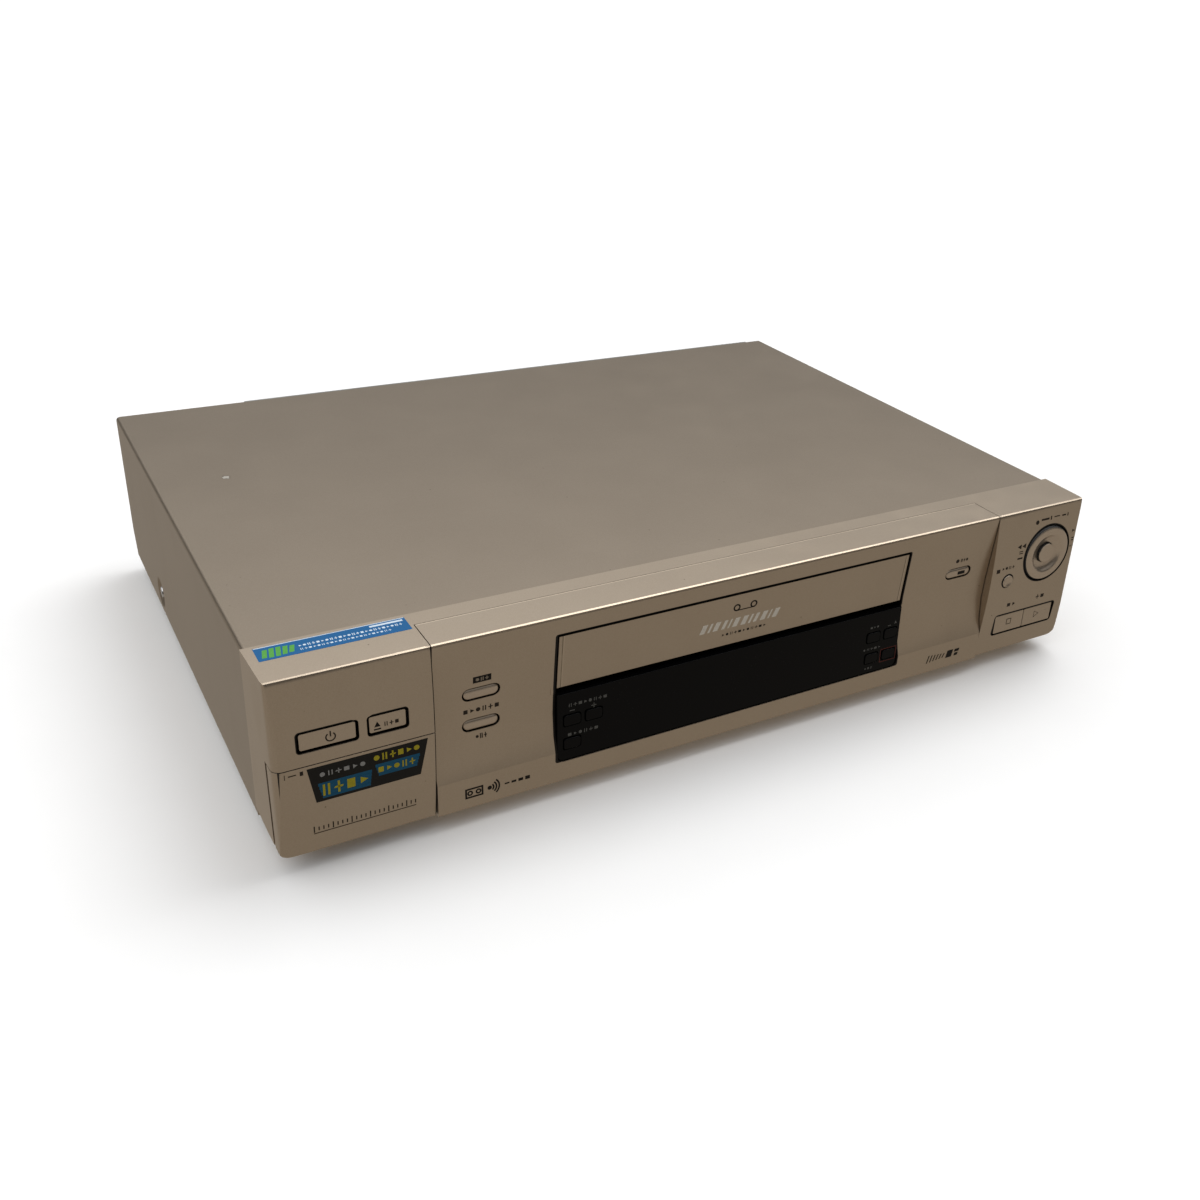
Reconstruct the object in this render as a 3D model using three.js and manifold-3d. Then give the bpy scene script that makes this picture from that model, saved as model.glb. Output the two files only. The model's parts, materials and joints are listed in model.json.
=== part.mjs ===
// A front-loading video cassette recorder: folded steel cover over a moulded front, with its
// cassette flap, drop-down door, keys, shuttle ring, cassette carriage and tape deck.
// Millimetres. X runs to the right seen from the front, Y to the back, Z up.
// Y 0 is the front plane, and Z 0 is the underside of the body until the feet lift it.

import * as THREE from 'three';
import { mergeVertices } from 'three/addons/utils/BufferGeometryUtils.js';
import Module from 'manifold-3d';

const wasm = await Module();
wasm.setup();

// Driving sizes

const cassette = { width: 188, height: 25, floor: 43.9 }; // floor: how high its underside passes the window
const beside = { left: 121.3, right: 117.5, above: 14.1 }; // the body beside the window, over the cassette
const seat = 0.3; // clearance between pieces that touch
const run = 0.4; // clearance round what moves
const overrun = 3; // how far a cutting tool reaches past the material

const foot = { height: 9, radius: 12, rim: 1.6, studRadius: 2.6, studLength: 5, inset: 34, setback: 26 };

// Front mouldings

const front = {
  wall: 2.2, bulge: 2.4, lowRecede: 1.8, topRadius: 1.2, cornerRadius: 6, edgeRadius: 4, taper: 1,
  depthTop: 28.7, depthLow: 33.7, leftPanel: 66.1, rightPanel: 61.1, seam: 0.4,
};
const fascia = { depth: 19.3, recess: 3.3, lip: 15.2, riseShare: 1.2, returnShare: 4 };
const slot = { sideRoom: 1.6, low: 9.7, topWall: 8.7, cornerRadius: 3, throatWall: 2.2, throatGap: 0.7 };
const tongue = { wall: 1.5, back: 39, front: 25, inset: 6 };

// Flap, lens and door

const flap = {
  lift: 3, topGap: 1.5, sideGap: 0.9, thickness: 2, setback: 0.4, axisDrop: 0.9, pinRadius: 1,
  knuckle: 1.6,
};
const lens = {
  thickness: 2.4, under: 0.4, lowSetback: 0.6, highSetback: 1.6, ledgeBack: 15, ledge: 2, keyWidth: 8,
  keyHeight: 5.2,
};
const door = {
  drop: 39.3, returnDepth: 8.1, wall: 2, axisBack: 6.2, axisRise: 2.2, lugRadius: 2, lugWidth: 2.5,
  pinRadius: 0.9, lugInset: 11, seamBack: 8.9, baseClear: 0.5, ceiling: 2,
};

// Keys and dial

const key = { travel: 1, flange: 0.9, flangeDepth: 1.2, flangeGap: 0.4 };
const rectKeys = {
  left: 10.9, right: 55.3, drop: 33.5, height: 9.6, powerShare: 0.545, divider: 3.2, radius: 1.6,
  sunk: 0.7, gap: 1.1,
};
const ovalKey = {
  width: 17, height: 6.3, fromLeft: 87.4, fromRight: 82, upperDrop: 28.3, lowerDrop: 43.8, proud: 0.3,
  gap: 0.7,
};
const tapeKeys = { outer: 8, inner: 51.3, low: 11, high: 23, radius: 1, sunk: 0.4, gap: 0.9 };
const roundKey = { fromRight: 48.7, drop: 38.7, radius: 3.5, proud: 0.5 };
const dial = {
  fromRight: 23, drop: 27.3, radius: 15.6, gap: 0.7, proud: 0.7, rim: 5, dish: 2, thickness: 4.4,
  wellDepth: 4.6, wellFloor: 2,
  hubRadius: 7.6, hubLength: 4.3, boreRadius: 5.8, chamfer: 0.9, buttonSunk: 0.4,
};
const lensKeys = {
  leftOuter: 7.4, leftInner: 18, rightOuter: 6, rightInner: 16.8, lowShare: 0.25, highShare: 0.6,
};

// Folded cover, base and rear

const cover = { wall: 1, proud: 0.6, foldRadius: 2, low: 0.5, rearChamfer: 15, rearChamferDepth: 5 };
const dish = { fromRear: 79, z: 11, radius: 8.5, floorRadius: 6.5, depth: 1.6, holeRadius: 1.9 };
const base = {
  plate: 1.2, tabGap: 2, side: 14, front: 8, rear: 13, rearGap: 4.5, ventWidth: 3, ventLength: 34,
  ventPitch: 9, ventCount: 9,
};
const post = { radius: 3 };
const rear = {
  plate: 1, deckRoom: 26, low: 2, stepLeft: 70, stepRight: 12, stepLow: 10, stepBack: 2.5, lipDrop: 0.4,
  lipDepth: 2.2,
  ventWidth: 2.6, ventLength: 34, ventPitch: 6, ventCount: 8, ventX: 28, ventZ: 54,
};
const screw = {
  crownShare: 0.86, headRadius: 3.2, headHeight: 1.2, shankRadius: 1.5, length: 8, recess: 0.5,
  recessWidth: 0.8, recessSpan: 3.4,
};

// Rear connectors

const jack = {
  radius: 4.15, length: 7.9, bore: 1.7, boreDepth: 6, pitch: 14, rowLow: 26, rowHigh: 44, columns: 4,
  holeGap: 0.6,
};
const jackBlock = { fromRight: 189, depth: 14, margin: 8 };
const tuner = {
  fromRight: 65, z: 40, width: 60, height: 38, depth: 44, barrelRadius: 4.7, barrelLength: 8.3,
  pitch: 15, rows: 16, bore: 0.9,
};
const inlet = {
  fromLeft: 31, z: 24, width: 24, height: 15, flange: 3, flangeDepth: 1.6, depth: 17, recessWidth: 17.4,
  recessHeight: 8.8,
  recessDepth: 12, pinRadius: 1.2, pinSpacing: 8.6, pinLength: 7,
};

// Boards

const board = { thickness: 1.6, rise: 15 };
const boardRoom = { side: 9, deck: 5.7, back: 22, mainFront: 52, powerLength: 138 };
const frontBoard = { low: 4, high: 39, back: 17.6 };
const tube = { width: 104, low: 13, high: 37, front: 8.4, corner: 2 };
const bayPanel = {
  thickness: 2, front: 17, low: 4.5, jackRadius: 4.15, jackLength: 6.5, jacks: 3, row: 15, pitch: 14,
  first: 18,
};

// Tape deck. Its own origin is over the deck plate, in the middle of the cassette.

const deck = { top: 15.7, plate: 1.2, sideMargin: 6, front: 62, behindDrum: 79, postInset: 9, corner: 6 };
const rail = {
  gap: 0.5, thickness: 1.4, front: 33, back: 162, low: 0.3, headGap: 7.3, slotRise: 17.8,
  slotHeight: 4.8, slotStart: 38,
};
const slider = { gap: 3.2, thickness: 1.2, length: 46, reach: 2.2, drop: 2, pinRadius: 2, pinInset: 10 };
const carriage = {
  travel: 62, drop: 20, front: 96, depth: 56, sideRoom: 0.9, wall: 1.2, plate: 1, headRoom: 0.6,
  hubNotch: 15, topFlange: 22, backStop: 9, pinRadius: 2, slotWidth: 4.8,
};
const reel = {
  spacing: 92, ahead: 3, discRadius: 27, disc: 4, rise: 0.5, hubRadius: 10.5, hub: 5, spindleRadius: 4.2,
  spindle: 12,
  fins: 3, fin: 1.4, finReach: 6, bore: 1.8, boreDepth: 12, shaft: 1.4, rimRadius: 24, rimStep: 1,
};
const drum = {
  behind: 53, tiltDegrees: 5.9, radius: 31, lowerHeight: 19, rise: 15, split: 0.5, upperHeight: 11.5,
  capRadius: 20,
  cap: 5, shaftRadius: 3, shaftRun: 0.5, lipWidth: 1.2, pedestal: 21, tape: 0.8,
};
const head = {
  width: 17, depth: 11, height: 21, xShare: 0.58, behind: 32, foot: 3, footSpread: 4, faceRadius: 12,
  nose: 3,
};
const eraseHead = { width: 9, depth: 12, height: 19, xShare: -0.58, behind: 16, foot: 3, footSpread: 3 };
const capstan = {
  xShare: 0.62, behind: 13, radius: 1.6, high: 36, rotorRadius: 17, rotor: 3, rotorDrop: 4.4,
  bearing: 3.4, bearingHigh: 4,
};
const capstanMotor = { radius: 20, gap: 0.5, step: 1.5 };
const pinch = {
  pivotShare: 0.9, pivotBehind: 26, rollerRadius: 6.5, swingDegrees: 25, armRise: 19, arm: 2.4, armWidth: 8,
  postRadius: 2, postHigh: 26, pinRadius: 1.3, rollerHeight: 14, boss: 4,
};
const guide = {
  startX: 17, startY: -45, endX: 46, endY: 9, sledWidth: 11, sled: 3, sledRise: 0.3, keel: 4.2,
  postRadius: 1.6,
  rollerRadius: 3, rollerLow: 14, postHigh: 30, slotWidth: 5,
};
const loader = {
  xShare: -0.84, behindDrum: 63, width: 24, depth: 22, height: 24, shaftRadius: 1.6, shaftLength: 8,
  pulleyRadius: 5, pulley: 4,
};

// Sizes worked out from the ones above

const slotWidth = cassette.width + 2 * slot.sideRoom;
const carriageBack = carriage.front + carriage.depth;
const reelY = carriage.front - reel.ahead;
const drumY = carriageBack + drum.behind;
const loaderY = drumY + loader.behindDrum;
const deckBack = drumY + deck.behindDrum;
const capstanY = carriageBack + capstan.behind;
const pivotY = carriageBack + pinch.pivotBehind;
const body = {
  width: beside.left + slotWidth + beside.right,
  height: cassette.floor + cassette.height + beside.above,
  coverRear: deckBack + rear.deckRoom,
};
const half = body.width / 2;
const slotShift = (beside.left - beside.right) / 2;
const slotHigh = body.height - slot.topWall;
const lensHigh = cassette.floor - lens.under;
const flapLow = lensHigh + flap.lift;
const throatLow = lensHigh + slot.throatGap;
const doorHigh = body.height - door.drop;
const rectKeyRows = [body.height - rectKeys.drop, body.height - rectKeys.drop + rectKeys.height];
const dialZ = body.height - dial.drop;
const roundKeyZ = body.height - roundKey.drop;
const seamLeft = -half + front.leftPanel;
const seamRight = half - front.rightPanel;
const slotLeft = slotShift - slotWidth / 2;
const slotRight = slotShift + slotWidth / 2;
const coverTop = body.height - cover.proud;
const coverSide = half - cover.proud;
const coverInnerTop = coverTop - cover.wall;
const coverInnerSide = coverSide - cover.wall;
const baseSide = coverInnerSide - seat;
const baseFront = front.depthLow + seat;
const baseBack = body.coverRear - base.rearGap;
const plateBack = baseBack + seat + rear.plate;
const stepBack = body.coverRear + rear.stepBack;
const stepInner = stepBack - rear.plate;
const stepLeft = -half + rear.stepLeft;
const stepRight = half - rear.stepRight;
const boardTop = board.rise + board.thickness;
const dishY = body.coverRear - dish.fromRear;
const inletX = -half + inlet.fromLeft;
const tunerX = half - tuner.fromRight;
const firstJackX = half - jackBlock.fromRight;
const carriageInner = cassette.width / 2 + carriage.sideRoom;
const carriageOuter = carriageInner + carriage.wall;
const sliderInner = carriageOuter + slider.gap;
const sliderOuter = sliderInner + slider.thickness;
const railInner = sliderOuter + rail.gap;
const railOuter = railInner + rail.thickness;
const railHigh = body.height - rail.headGap - deck.top;
const carriageFloor = cassette.floor - deck.top;
const trackLow = carriageFloor + rail.slotRise;
const sliderHigh = railHigh - slider.drop;
const deckHalf = cassette.width / 2 + deck.sideMargin;
const capstanX = capstan.xShare * deckHalf;
const pivotX = pinch.pivotShare * deckHalf;
const loaderX = loader.xShare * deckHalf;
const mainBoard = {
  left: slotShift + railOuter + boardRoom.deck, right: half - boardRoom.side,
  front: boardRoom.mainFront, back: body.coverRear - boardRoom.back,
};
const powerBoard = {
  left: -half + boardRoom.side, right: slotShift - railOuter - boardRoom.deck,
  front: body.coverRear - boardRoom.back - boardRoom.powerLength, back: body.coverRear - boardRoom.back,
};
const flapTop = slotHigh - flap.topGap;
const flapLeft = slotLeft + flap.sideGap;
const flapRight = slotRight - flap.sideGap;
const dialX = half - dial.fromRight;

// Colours and surface character

const finish = {
  coverPaint: new THREE.MeshStandardMaterial({ color: 0x9a8d7c, roughness: 0.42, metalness: 0.55 }),
  frontPaint: new THREE.MeshStandardMaterial({ color: 0xa39684, roughness: 0.38, metalness: 0.5 }),
  blackGloss: new THREE.MeshStandardMaterial({ color: 0x0b0b0c, roughness: 0.08, metalness: 0 }),
  blackPlastic: new THREE.MeshStandardMaterial({ color: 0x1b1b1c, roughness: 0.5, metalness: 0 }),
  zinc: new THREE.MeshStandardMaterial({ color: 0xa7a9a6, roughness: 0.4, metalness: 0.9 }),
  bright: new THREE.MeshStandardMaterial({ color: 0xcfd0d0, roughness: 0.2, metalness: 1 }),
  rubber: new THREE.MeshStandardMaterial({ color: 0x202020, roughness: 0.9, metalness: 0 }),
  circuit: new THREE.MeshStandardMaterial({ color: 0x2c5b3a, roughness: 0.5, metalness: 0 }),
  glass: new THREE.MeshStandardMaterial({ color: 0x2a3634, roughness: 0.08, metalness: 0 }),
};

// Solids: closed meshes that can be joined and cut

const steps = { arc: 2, keyArc: 1, face: 7, round: 22, foot: 14, small: 10, tiny: 6 };

function solidOf(geometry) {
  const plain = geometry.clone();
  plain.deleteAttribute('normal');
  plain.deleteAttribute('uv');
  const merged = mergeVertices(plain);
  return new wasm.Manifold(new wasm.Mesh({
    numProp: 3,
    vertProperties: new Float32Array(merged.attributes.position.array),
    triVerts: new Uint32Array(merged.index.array),
  }));
}

function geometryOf(solid) {
  const mesh = solid.getMesh();
  const geometry = new THREE.BufferGeometry();
  geometry.setAttribute('position', new THREE.BufferAttribute(mesh.vertProperties, 3));
  geometry.setIndex(new THREE.BufferAttribute(mesh.triVerts, 1));
  geometry.computeVertexNormals();
  return geometry;
}

const join = (...solids) => solids.reduce((all, next) => all.add(next));
const cut = (solid, ...tools) => tools.reduce((rest, tool) => rest.subtract(tool), solid);
const common = (...solids) => solids.reduce((all, next) => all.intersect(next));

// A box from its low and high faces along each axis.
function block([x0, x1], [y0, y1], [z0, z1]) {
  const geometry = new THREE.BoxGeometry(x1 - x0, y1 - y0, z1 - z0);
  return solidOf(geometry.translate((x0 + x1) / 2, (y0 + y1) / 2, (z0 + z1) / 2));
}

// Turns a geometry that was made along Z so that it runs along the named axis.
function turnTo(geometry, axis) {
  if (axis === 'x') {
    const yzToWorld = new THREE.Matrix4().makeBasis(
      new THREE.Vector3(0, 1, 0), new THREE.Vector3(0, 0, 1), new THREE.Vector3(1, 0, 0));
    return geometry.applyMatrix4(yzToWorld);
  }
  return axis === 'y' ? geometry.rotateX(Math.PI / 2) : geometry;
}

// A flat outline pushed along an axis: (y, z) along x, (x, z) along y, or (x, y) along z.
function prism(shape, axis, low, high, curveSegments = steps.arc) {
  const geometry = new THREE.ExtrudeGeometry(shape,
    { depth: high - low, bevelEnabled: false, curveSegments });
  turnTo(geometry, axis);
  const start = { x: [low, 0, 0], y: [0, high, 0], z: [0, 0, low] }[axis];
  return solidOf(geometry.translate(...start));
}

// A round bar or cone along an axis between two stations, centred on the other two coordinates.
function rod(axis, [low, high], [a, b], radius, highRadius = radius, sides = steps.small) {
  const geometry = new THREE.CylinderGeometry(highRadius, radius, high - low, sides);
  const middle = (low + high) / 2;
  if (axis === 'z') return solidOf(geometry.rotateX(Math.PI / 2).translate(a, b, middle));
  if (axis === 'x') return solidOf(geometry.rotateZ(-Math.PI / 2).translate(middle, a, b));
  return solidOf(geometry.translate(a, middle, b));
}

// A turned piece: its half section as [radius, height] points that start and end on the axis.
function turned(points, sides = steps.round) {
  const section = points.map(([radius, height]) => new THREE.Vector2(radius, height));
  return solidOf(new THREE.LatheGeometry(section, sides).rotateX(Math.PI / 2));
}

function roundedRect([x0, x1], [y0, y1], radius) {
  const shape = new THREE.Shape();
  shape.moveTo(x0 + radius, y0);
  shape.lineTo(x1 - radius, y0);
  shape.absarc(x1 - radius, y0 + radius, radius, -Math.PI / 2, 0);
  shape.lineTo(x1, y1 - radius);
  shape.absarc(x1 - radius, y1 - radius, radius, 0, Math.PI / 2);
  shape.lineTo(x0 + radius, y1);
  shape.absarc(x0 + radius, y1 - radius, radius, Math.PI / 2, Math.PI);
  shape.lineTo(x0, y0 + radius);
  shape.absarc(x0 + radius, y0 + radius, radius, Math.PI, 1.5 * Math.PI);
  return shape;
}

function polygon(points) {
  return new THREE.Shape(points.map(([x, y]) => new THREE.Vector2(x, y)));
}

const grown = ([low, high], by) => [low - by, high + by];
const mirrored = (solid) => solid.mirror([1, 0, 0]);

function piece(name, solid, material, [x, y, z] = [0, 0, 0]) {
  const mesh = new THREE.Mesh(geometryOf(solid), material);
  mesh.name = name;
  mesh.position.set(x, y, z);
  return mesh;
}

// The moulded front

// The end panels' foremost line, where their bulge is fullest.
const foremost = -Math.pow(4 * front.bulge - front.lowRecede, 2) / (16 * front.bulge);

// How far back the end panels' bulging face lies at height z.
function panelFace(z) {
  const fall = (body.height - z) / body.height;
  return front.lowRecede * fall - 4 * front.bulge * fall * (1 - fall);
}

// How far back the middle fascia's hollow face lies at height z. Below the crease it is an upright lip.
function fasciaFace(z) {
  const fall = Math.max(body.height - z, 0) / (body.height - fascia.lip);
  if (fall >= 1) return 0;
  const rise = fascia.riseShare;
  const turn = fascia.returnShare;
  const peak = Math.pow(rise / (rise + turn), 1 / turn);
  const hollow = (at) => Math.pow(at, rise) * (1 - Math.pow(at, turn));
  return fascia.recess * hollow(fall) / hollow(peak);
}

// Heights down a face: even steps, and the crease where the face has one.
function faceHeights(top, low, crease) {
  const heights = Array.from({ length: steps.face + 1 }, (unused, i) => top + (low - top) * i / steps.face);
  if (crease === undefined || crease <= low || crease >= top) return heights;
  return heights.filter((z) => Math.abs(z - crease) > front.topRadius).concat(crease).sort((a, b) => b - a);
}

// Side outline of a front moulding, drawn in (y, z) and moved inwards by inset.
function faceOutline(face, inset, back, crease) {
  const top = body.height - inset;
  const low = inset;
  const radius = Math.max(front.topRadius - inset, 0);
  const shape = new THREE.Shape();
  shape.moveTo(back, low);
  shape.lineTo(back, top);
  shape.lineTo(face(top) + inset + front.topRadius, top);
  if (radius > 0) {
    shape.quadraticCurveTo(face(top) + inset, top, face(top - radius) + inset, top - radius);
  }
  for (const z of faceHeights(top - radius - front.topRadius, low, crease)) {
    shape.lineTo(face(z) + inset, z);
  }
  return shape;
}

// Plan outline of the whole front in (x, y): straight sides that draw in a little to rounded edges.
function planOutline(inset, back) {
  const wide = half - inset;
  const narrow = wide - front.taper;
  const radius = front.edgeRadius - inset;
  const lead = foremost + inset;
  const shape = new THREE.Shape();
  shape.moveTo(-wide, back);
  shape.lineTo(-wide, front.depthTop);
  shape.lineTo(-narrow, lead + radius);
  shape.absarc(-narrow + radius, lead + radius, radius, Math.PI, 1.5 * Math.PI);
  shape.lineTo(narrow - radius, lead);
  shape.absarc(narrow - radius, lead + radius, radius, 1.5 * Math.PI, 2 * Math.PI);
  shape.lineTo(wide, front.depthTop);
  shape.lineTo(wide, back);
  return shape;
}

// The block that the end panels and the door are cut from, as if they were one solid piece.
function panelBlock(inset) {
  const back = front.depthLow + (inset > 0 ? overrun : 0);
  const across = [-half - overrun, half + overrun];
  const side = prism(faceOutline(panelFace, inset, back), 'x', ...across);
  const plan = prism(planOutline(inset, back + overrun), 'z', -overrun, body.height + overrun);
  const corner = roundedRect([-half + inset, half - inset], [inset, body.height * 2],
    front.cornerRadius - inset);
  return common(side, plan, prism(corner, 'y', -overrun - front.bulge, back + overrun));
}

// Cuts the slanting rear edge of the bezel, and with a gap the front edge of the cover.
function slantTool(setback) {
  const top = front.depthTop + setback;
  const low = front.depthLow + setback;
  const far = low + body.coverRear;
  const outline = polygon([[top, body.height + overrun], [low, -overrun], [far, -overrun],
    [far, body.height + overrun]]);
  return prism(outline, 'x', -half - overrun, half + overrun);
}

const fromLeft = (distance) => -half + distance;
const fromRight = (distance) => half - distance;
const powerRight = rectKeys.left + (rectKeys.right - rectKeys.left) * rectKeys.powerShare;
const rectKeyPlaces = {
  power_button: [fromLeft(rectKeys.left), fromLeft(powerRight)],
  eject_button: [fromLeft(powerRight + rectKeys.divider), fromLeft(rectKeys.right)],
};
const tapeKeyMiddle = fromRight((tapeKeys.inner + tapeKeys.outer) / 2);
const tapeKeyPlaces = {
  stop_button: [fromRight(tapeKeys.inner), tapeKeyMiddle],
  play_button: [tapeKeyMiddle, fromRight(tapeKeys.outer)],
};

const throughWall = [-2 * front.bulge - overrun, front.wall + front.lowRecede + overrun];

function frontBezel() {
  const shell = cut(panelBlock(0), panelBlock(front.wall), slantTool(0));
  const bayTop = doorHigh + door.ceiling;
  const cheekBack = [door.seamBack, front.depthTop - overrun];
  const leftCheek = common(panelBlock(0), join(
    block([seamLeft - front.wall - front.seam / 2, seamLeft - front.seam / 2], cheekBack, [0, body.height]),
    block([seamLeft - front.wall - front.seam / 2, seamLeft - front.seam / 2],
      [throughWall[0], cheekBack[1]],
      [doorHigh, body.height])));
  const rightCheek = common(panelBlock(0), block(
    [seamRight + front.seam / 2, seamRight + front.wall + front.seam / 2], [throughWall[0], cheekBack[1]],
    [0, body.height]));
  const shelf = common(panelBlock(0), block(
    [-half, seamLeft - front.seam / 2], [throughWall[0], front.depthTop], [doorHigh, bayTop]));
  const doorRoom = block([-half - overrun, seamLeft - front.seam / 2 + seat / 2],
    [throughWall[0], door.seamBack], [-overrun, doorHigh]);
  const fasciaRoom = block([seamLeft - front.seam / 2, seamRight + front.seam / 2],
    [throughWall[0], fascia.depth], [-overrun, body.height + overrun]);
  const walls = join(cut(shell, fasciaRoom, doorRoom), leftCheek, rightCheek, shelf, coverTongue(),
    ...doorLugs());
  return cut(walls, ...rectKeyHoles(), ...tapeKeyHoles(), roundKeyHole(), dialRoom()).add(dialWell());
}

// The thin rim behind the bezel that the cover's front edge fits over.
function coverTongue() {
  const top = coverInnerTop - seat;
  const side = coverInnerSide - seat;
  const reach = [tongue.front, tongue.back];
  const roof = block([-side + tongue.inset, side - tongue.inset], reach, [top - tongue.wall, top]);
  const cheek = block([side - tongue.wall, side], reach, [base.side + tongue.inset, top - tongue.inset]);
  return join(roof, cheek, mirrored(cheek));
}

const lugPlaces = [fromLeft(door.lugInset), seamLeft - door.lugInset + door.lugWidth];

// Lugs on the bottom strip that hold the door's pins.
function doorLugs() {
  return lugPlaces.map((x) => {
    const across = [x - door.lugWidth, x];
    const eye = rod('x', across, [door.axisBack, door.axisRise], door.lugRadius);
    const arm = block(across, [door.axisBack, door.seamBack + front.wall],
      [seat, door.axisRise + door.lugRadius]);
    const hole = rod('x', grown(across, overrun), [door.axisBack, door.axisRise], door.pinRadius + seat);
    return cut(join(eye, arm), hole);
  });
}

function rectKeyHoles() {
  return Object.values(rectKeyPlaces).map((place) => prism(
    roundedRect(place, rectKeyRows, rectKeys.radius), 'y', ...throughWall));
}

function tapeKeyHoles() {
  const span = [fromRight(tapeKeys.inner), fromRight(tapeKeys.outer)];
  return [prism(roundedRect(span, [tapeKeys.low, tapeKeys.high], tapeKeys.radius), 'y', ...throughWall)];
}

function roundKeyHole() {
  return rod('y', throughWall, [fromRight(roundKey.fromRight), roundKeyZ], roundKey.radius + run);
}

const dialFace = panelFace(dialZ);
const dialHole = dial.radius + dial.gap;
const wellBack = dialFace + dial.wellDepth + dial.wellFloor;

function dialRoom() {
  return rod('y', [throughWall[0], wellBack], [dialX, dialZ], dialHole, dialHole, steps.round);
}

// The round well in the right panel, with a floor that carries the ring's hub.
function dialWell() {
  const outer = dialHole + front.wall;
  const wall = common(panelBlock(0), rod('y', [dialFace - overrun, wellBack], [dialX, dialZ], outer,
    outer, steps.round));
  const room = rod('y', [throughWall[0], wellBack - dial.wellFloor], [dialX, dialZ],
    dialHole, dialHole, steps.round);
  const hubHole = rod('y', [0, wellBack + overrun], [dialX, dialZ], dial.hubRadius + run,
    dial.hubRadius + run, steps.round);
  return cut(wall, room, hubHole);
}

function centreFascia() {
  const span = [seamLeft + front.seam / 2, seamRight - front.seam / 2];
  const back = fascia.depth - seat;
  const outer = prism(faceOutline(fasciaFace, 0, back, fascia.lip), 'x', ...span);
  const inner = prism(faceOutline(fasciaFace, front.wall, back + overrun, fascia.lip), 'x',
    ...grown(span, -front.wall));
  const window = join(
    prism(roundedRect([slotLeft, slotRight], [slot.low, slotHigh], slot.cornerRadius), 'y', ...throughWall),
    block([slotLeft, slotRight], throughWall, [throatLow, slotHigh]));
  const wall = [slotLeft - slot.throatWall, slotLeft];
  const throat = block(wall, [fasciaFace(slotHigh) + front.wall, back],
    [throatLow, body.height - front.wall]);
  const otherWall = throat.translate(slotWidth + slot.throatWall, 0, 0);
  const pinHoles = rod('x', [slotLeft - slot.throatWall - overrun, slotRight + slot.throatWall + overrun],
    [flapAxis.y, flapAxis.z], flap.pinRadius + run);
  return cut(join(cut(outer, inner), throat, otherWall), window, pinHoles, ...ovalKeyHoles());
}

const ovalPlaces = {
  upper_oval_button: [fromLeft(ovalKey.fromLeft), body.height - ovalKey.upperDrop],
  lower_oval_button: [fromLeft(ovalKey.fromLeft), body.height - ovalKey.lowerDrop],
  record_button: [fromRight(ovalKey.fromRight), body.height - ovalKey.upperDrop],
};

function ovalShape([x, z], gap) {
  const wide = ovalKey.width / 2 + gap;
  const high = ovalKey.height / 2 + gap;
  return roundedRect([x - wide, x + wide], [z - high, z + high], high);
}

function ovalKeyHoles() {
  return Object.values(ovalPlaces).map((place) => prism(ovalShape(place, 0), 'y', throughWall[0],
    fascia.recess + front.wall + overrun));
}

// Cassette flap: a curved panel with a knuckle and pins along its top edge

const flapAxis = {
  y: fasciaFace(flapTop) + flap.setback + flap.thickness,
  z: flapTop - flap.axisDrop,
};

function cassetteFlap() {
  const heights = faceHeights(flapTop, flapLow);
  const surface = (z) => fasciaFace(z) + flap.setback;
  const outside = heights.map((z) => [surface(z), z]);
  const inside = [...heights].reverse().map((z) => [surface(z) + flap.thickness, z]);
  const panel = prism(polygon([...outside, ...inside]), 'x', flapLeft, flapRight);
  const knuckle = rod('x', [flapLeft, flapRight], [flapAxis.y, flapAxis.z], flap.knuckle);
  const pins = rod('x', [slotLeft - slot.throatWall + seat, slotRight + slot.throatWall - seat],
    [flapAxis.y, flapAxis.z], flap.pinRadius);
  return join(panel, knuckle, pins);
}

// Black display lens: a leaning front face that turns back into a ledge under the flap

function displayLens() {
  const low = slot.low + seat;
  const side = [slotLeft + seat, slotRight - seat];
  const section = polygon([
    [lens.lowSetback, low], [lens.lowSetback + lens.thickness, low],
    [lens.highSetback + lens.thickness, lensHigh - lens.ledge], [lens.ledgeBack, lensHigh - lens.ledge],
    [lens.ledgeBack, lensHigh], [lens.highSetback, lensHigh],
  ]);
  const corners = prism(roundedRect(side, [low, lensHigh + slot.cornerRadius * 2],
    slot.cornerRadius - seat), 'y',
    0, lens.ledgeBack);
  const plain = common(prism(section, 'x', ...side), corners);
  return cut(plain, ...Object.values(lensKeyPlaces).map((place) => prism(lensKeyShape(place, run), 'y', 0,
    lens.ledgeBack, steps.keyArc)));
}

const lensRow = (share) => slot.low + share * (lensHigh - slot.low);
const lensKeyPlaces = {
  lens_key_left_lower: [slotLeft + lensKeys.leftOuter, lensRow(lensKeys.lowShare)],
  lens_key_left_upper: [slotLeft + lensKeys.leftOuter, lensRow(lensKeys.highShare)],
  lens_key_left_inner: [slotLeft + lensKeys.leftInner, lensRow(lensKeys.highShare)],
  lens_key_right_lower: [slotRight - lensKeys.rightInner, lensRow(lensKeys.lowShare)],
  lens_key_right_upper: [slotRight - lensKeys.rightInner, lensRow(lensKeys.highShare)],
  lens_key_right_outer_lower: [slotRight - lensKeys.rightOuter, lensRow(lensKeys.lowShare)],
  lens_key_right_outer_upper: [slotRight - lensKeys.rightOuter, lensRow(lensKeys.highShare)],
};

function lensKeyShape([x, z], gap) {
  const wide = lens.keyWidth / 2 + gap;
  const high = lens.keyHeight / 2 + gap;
  return roundedRect([x - wide, x + wide], [z - high, z + high], lens.keyHeight / 5);
}

// How far back the lens face lies at height z.
function lensFace(z) {
  const share = (z - slot.low) / (lensHigh - slot.low);
  return lens.lowSetback + (lens.highSetback - lens.lowSetback) * share;
}

// Drop-down door at the lower left

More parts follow.
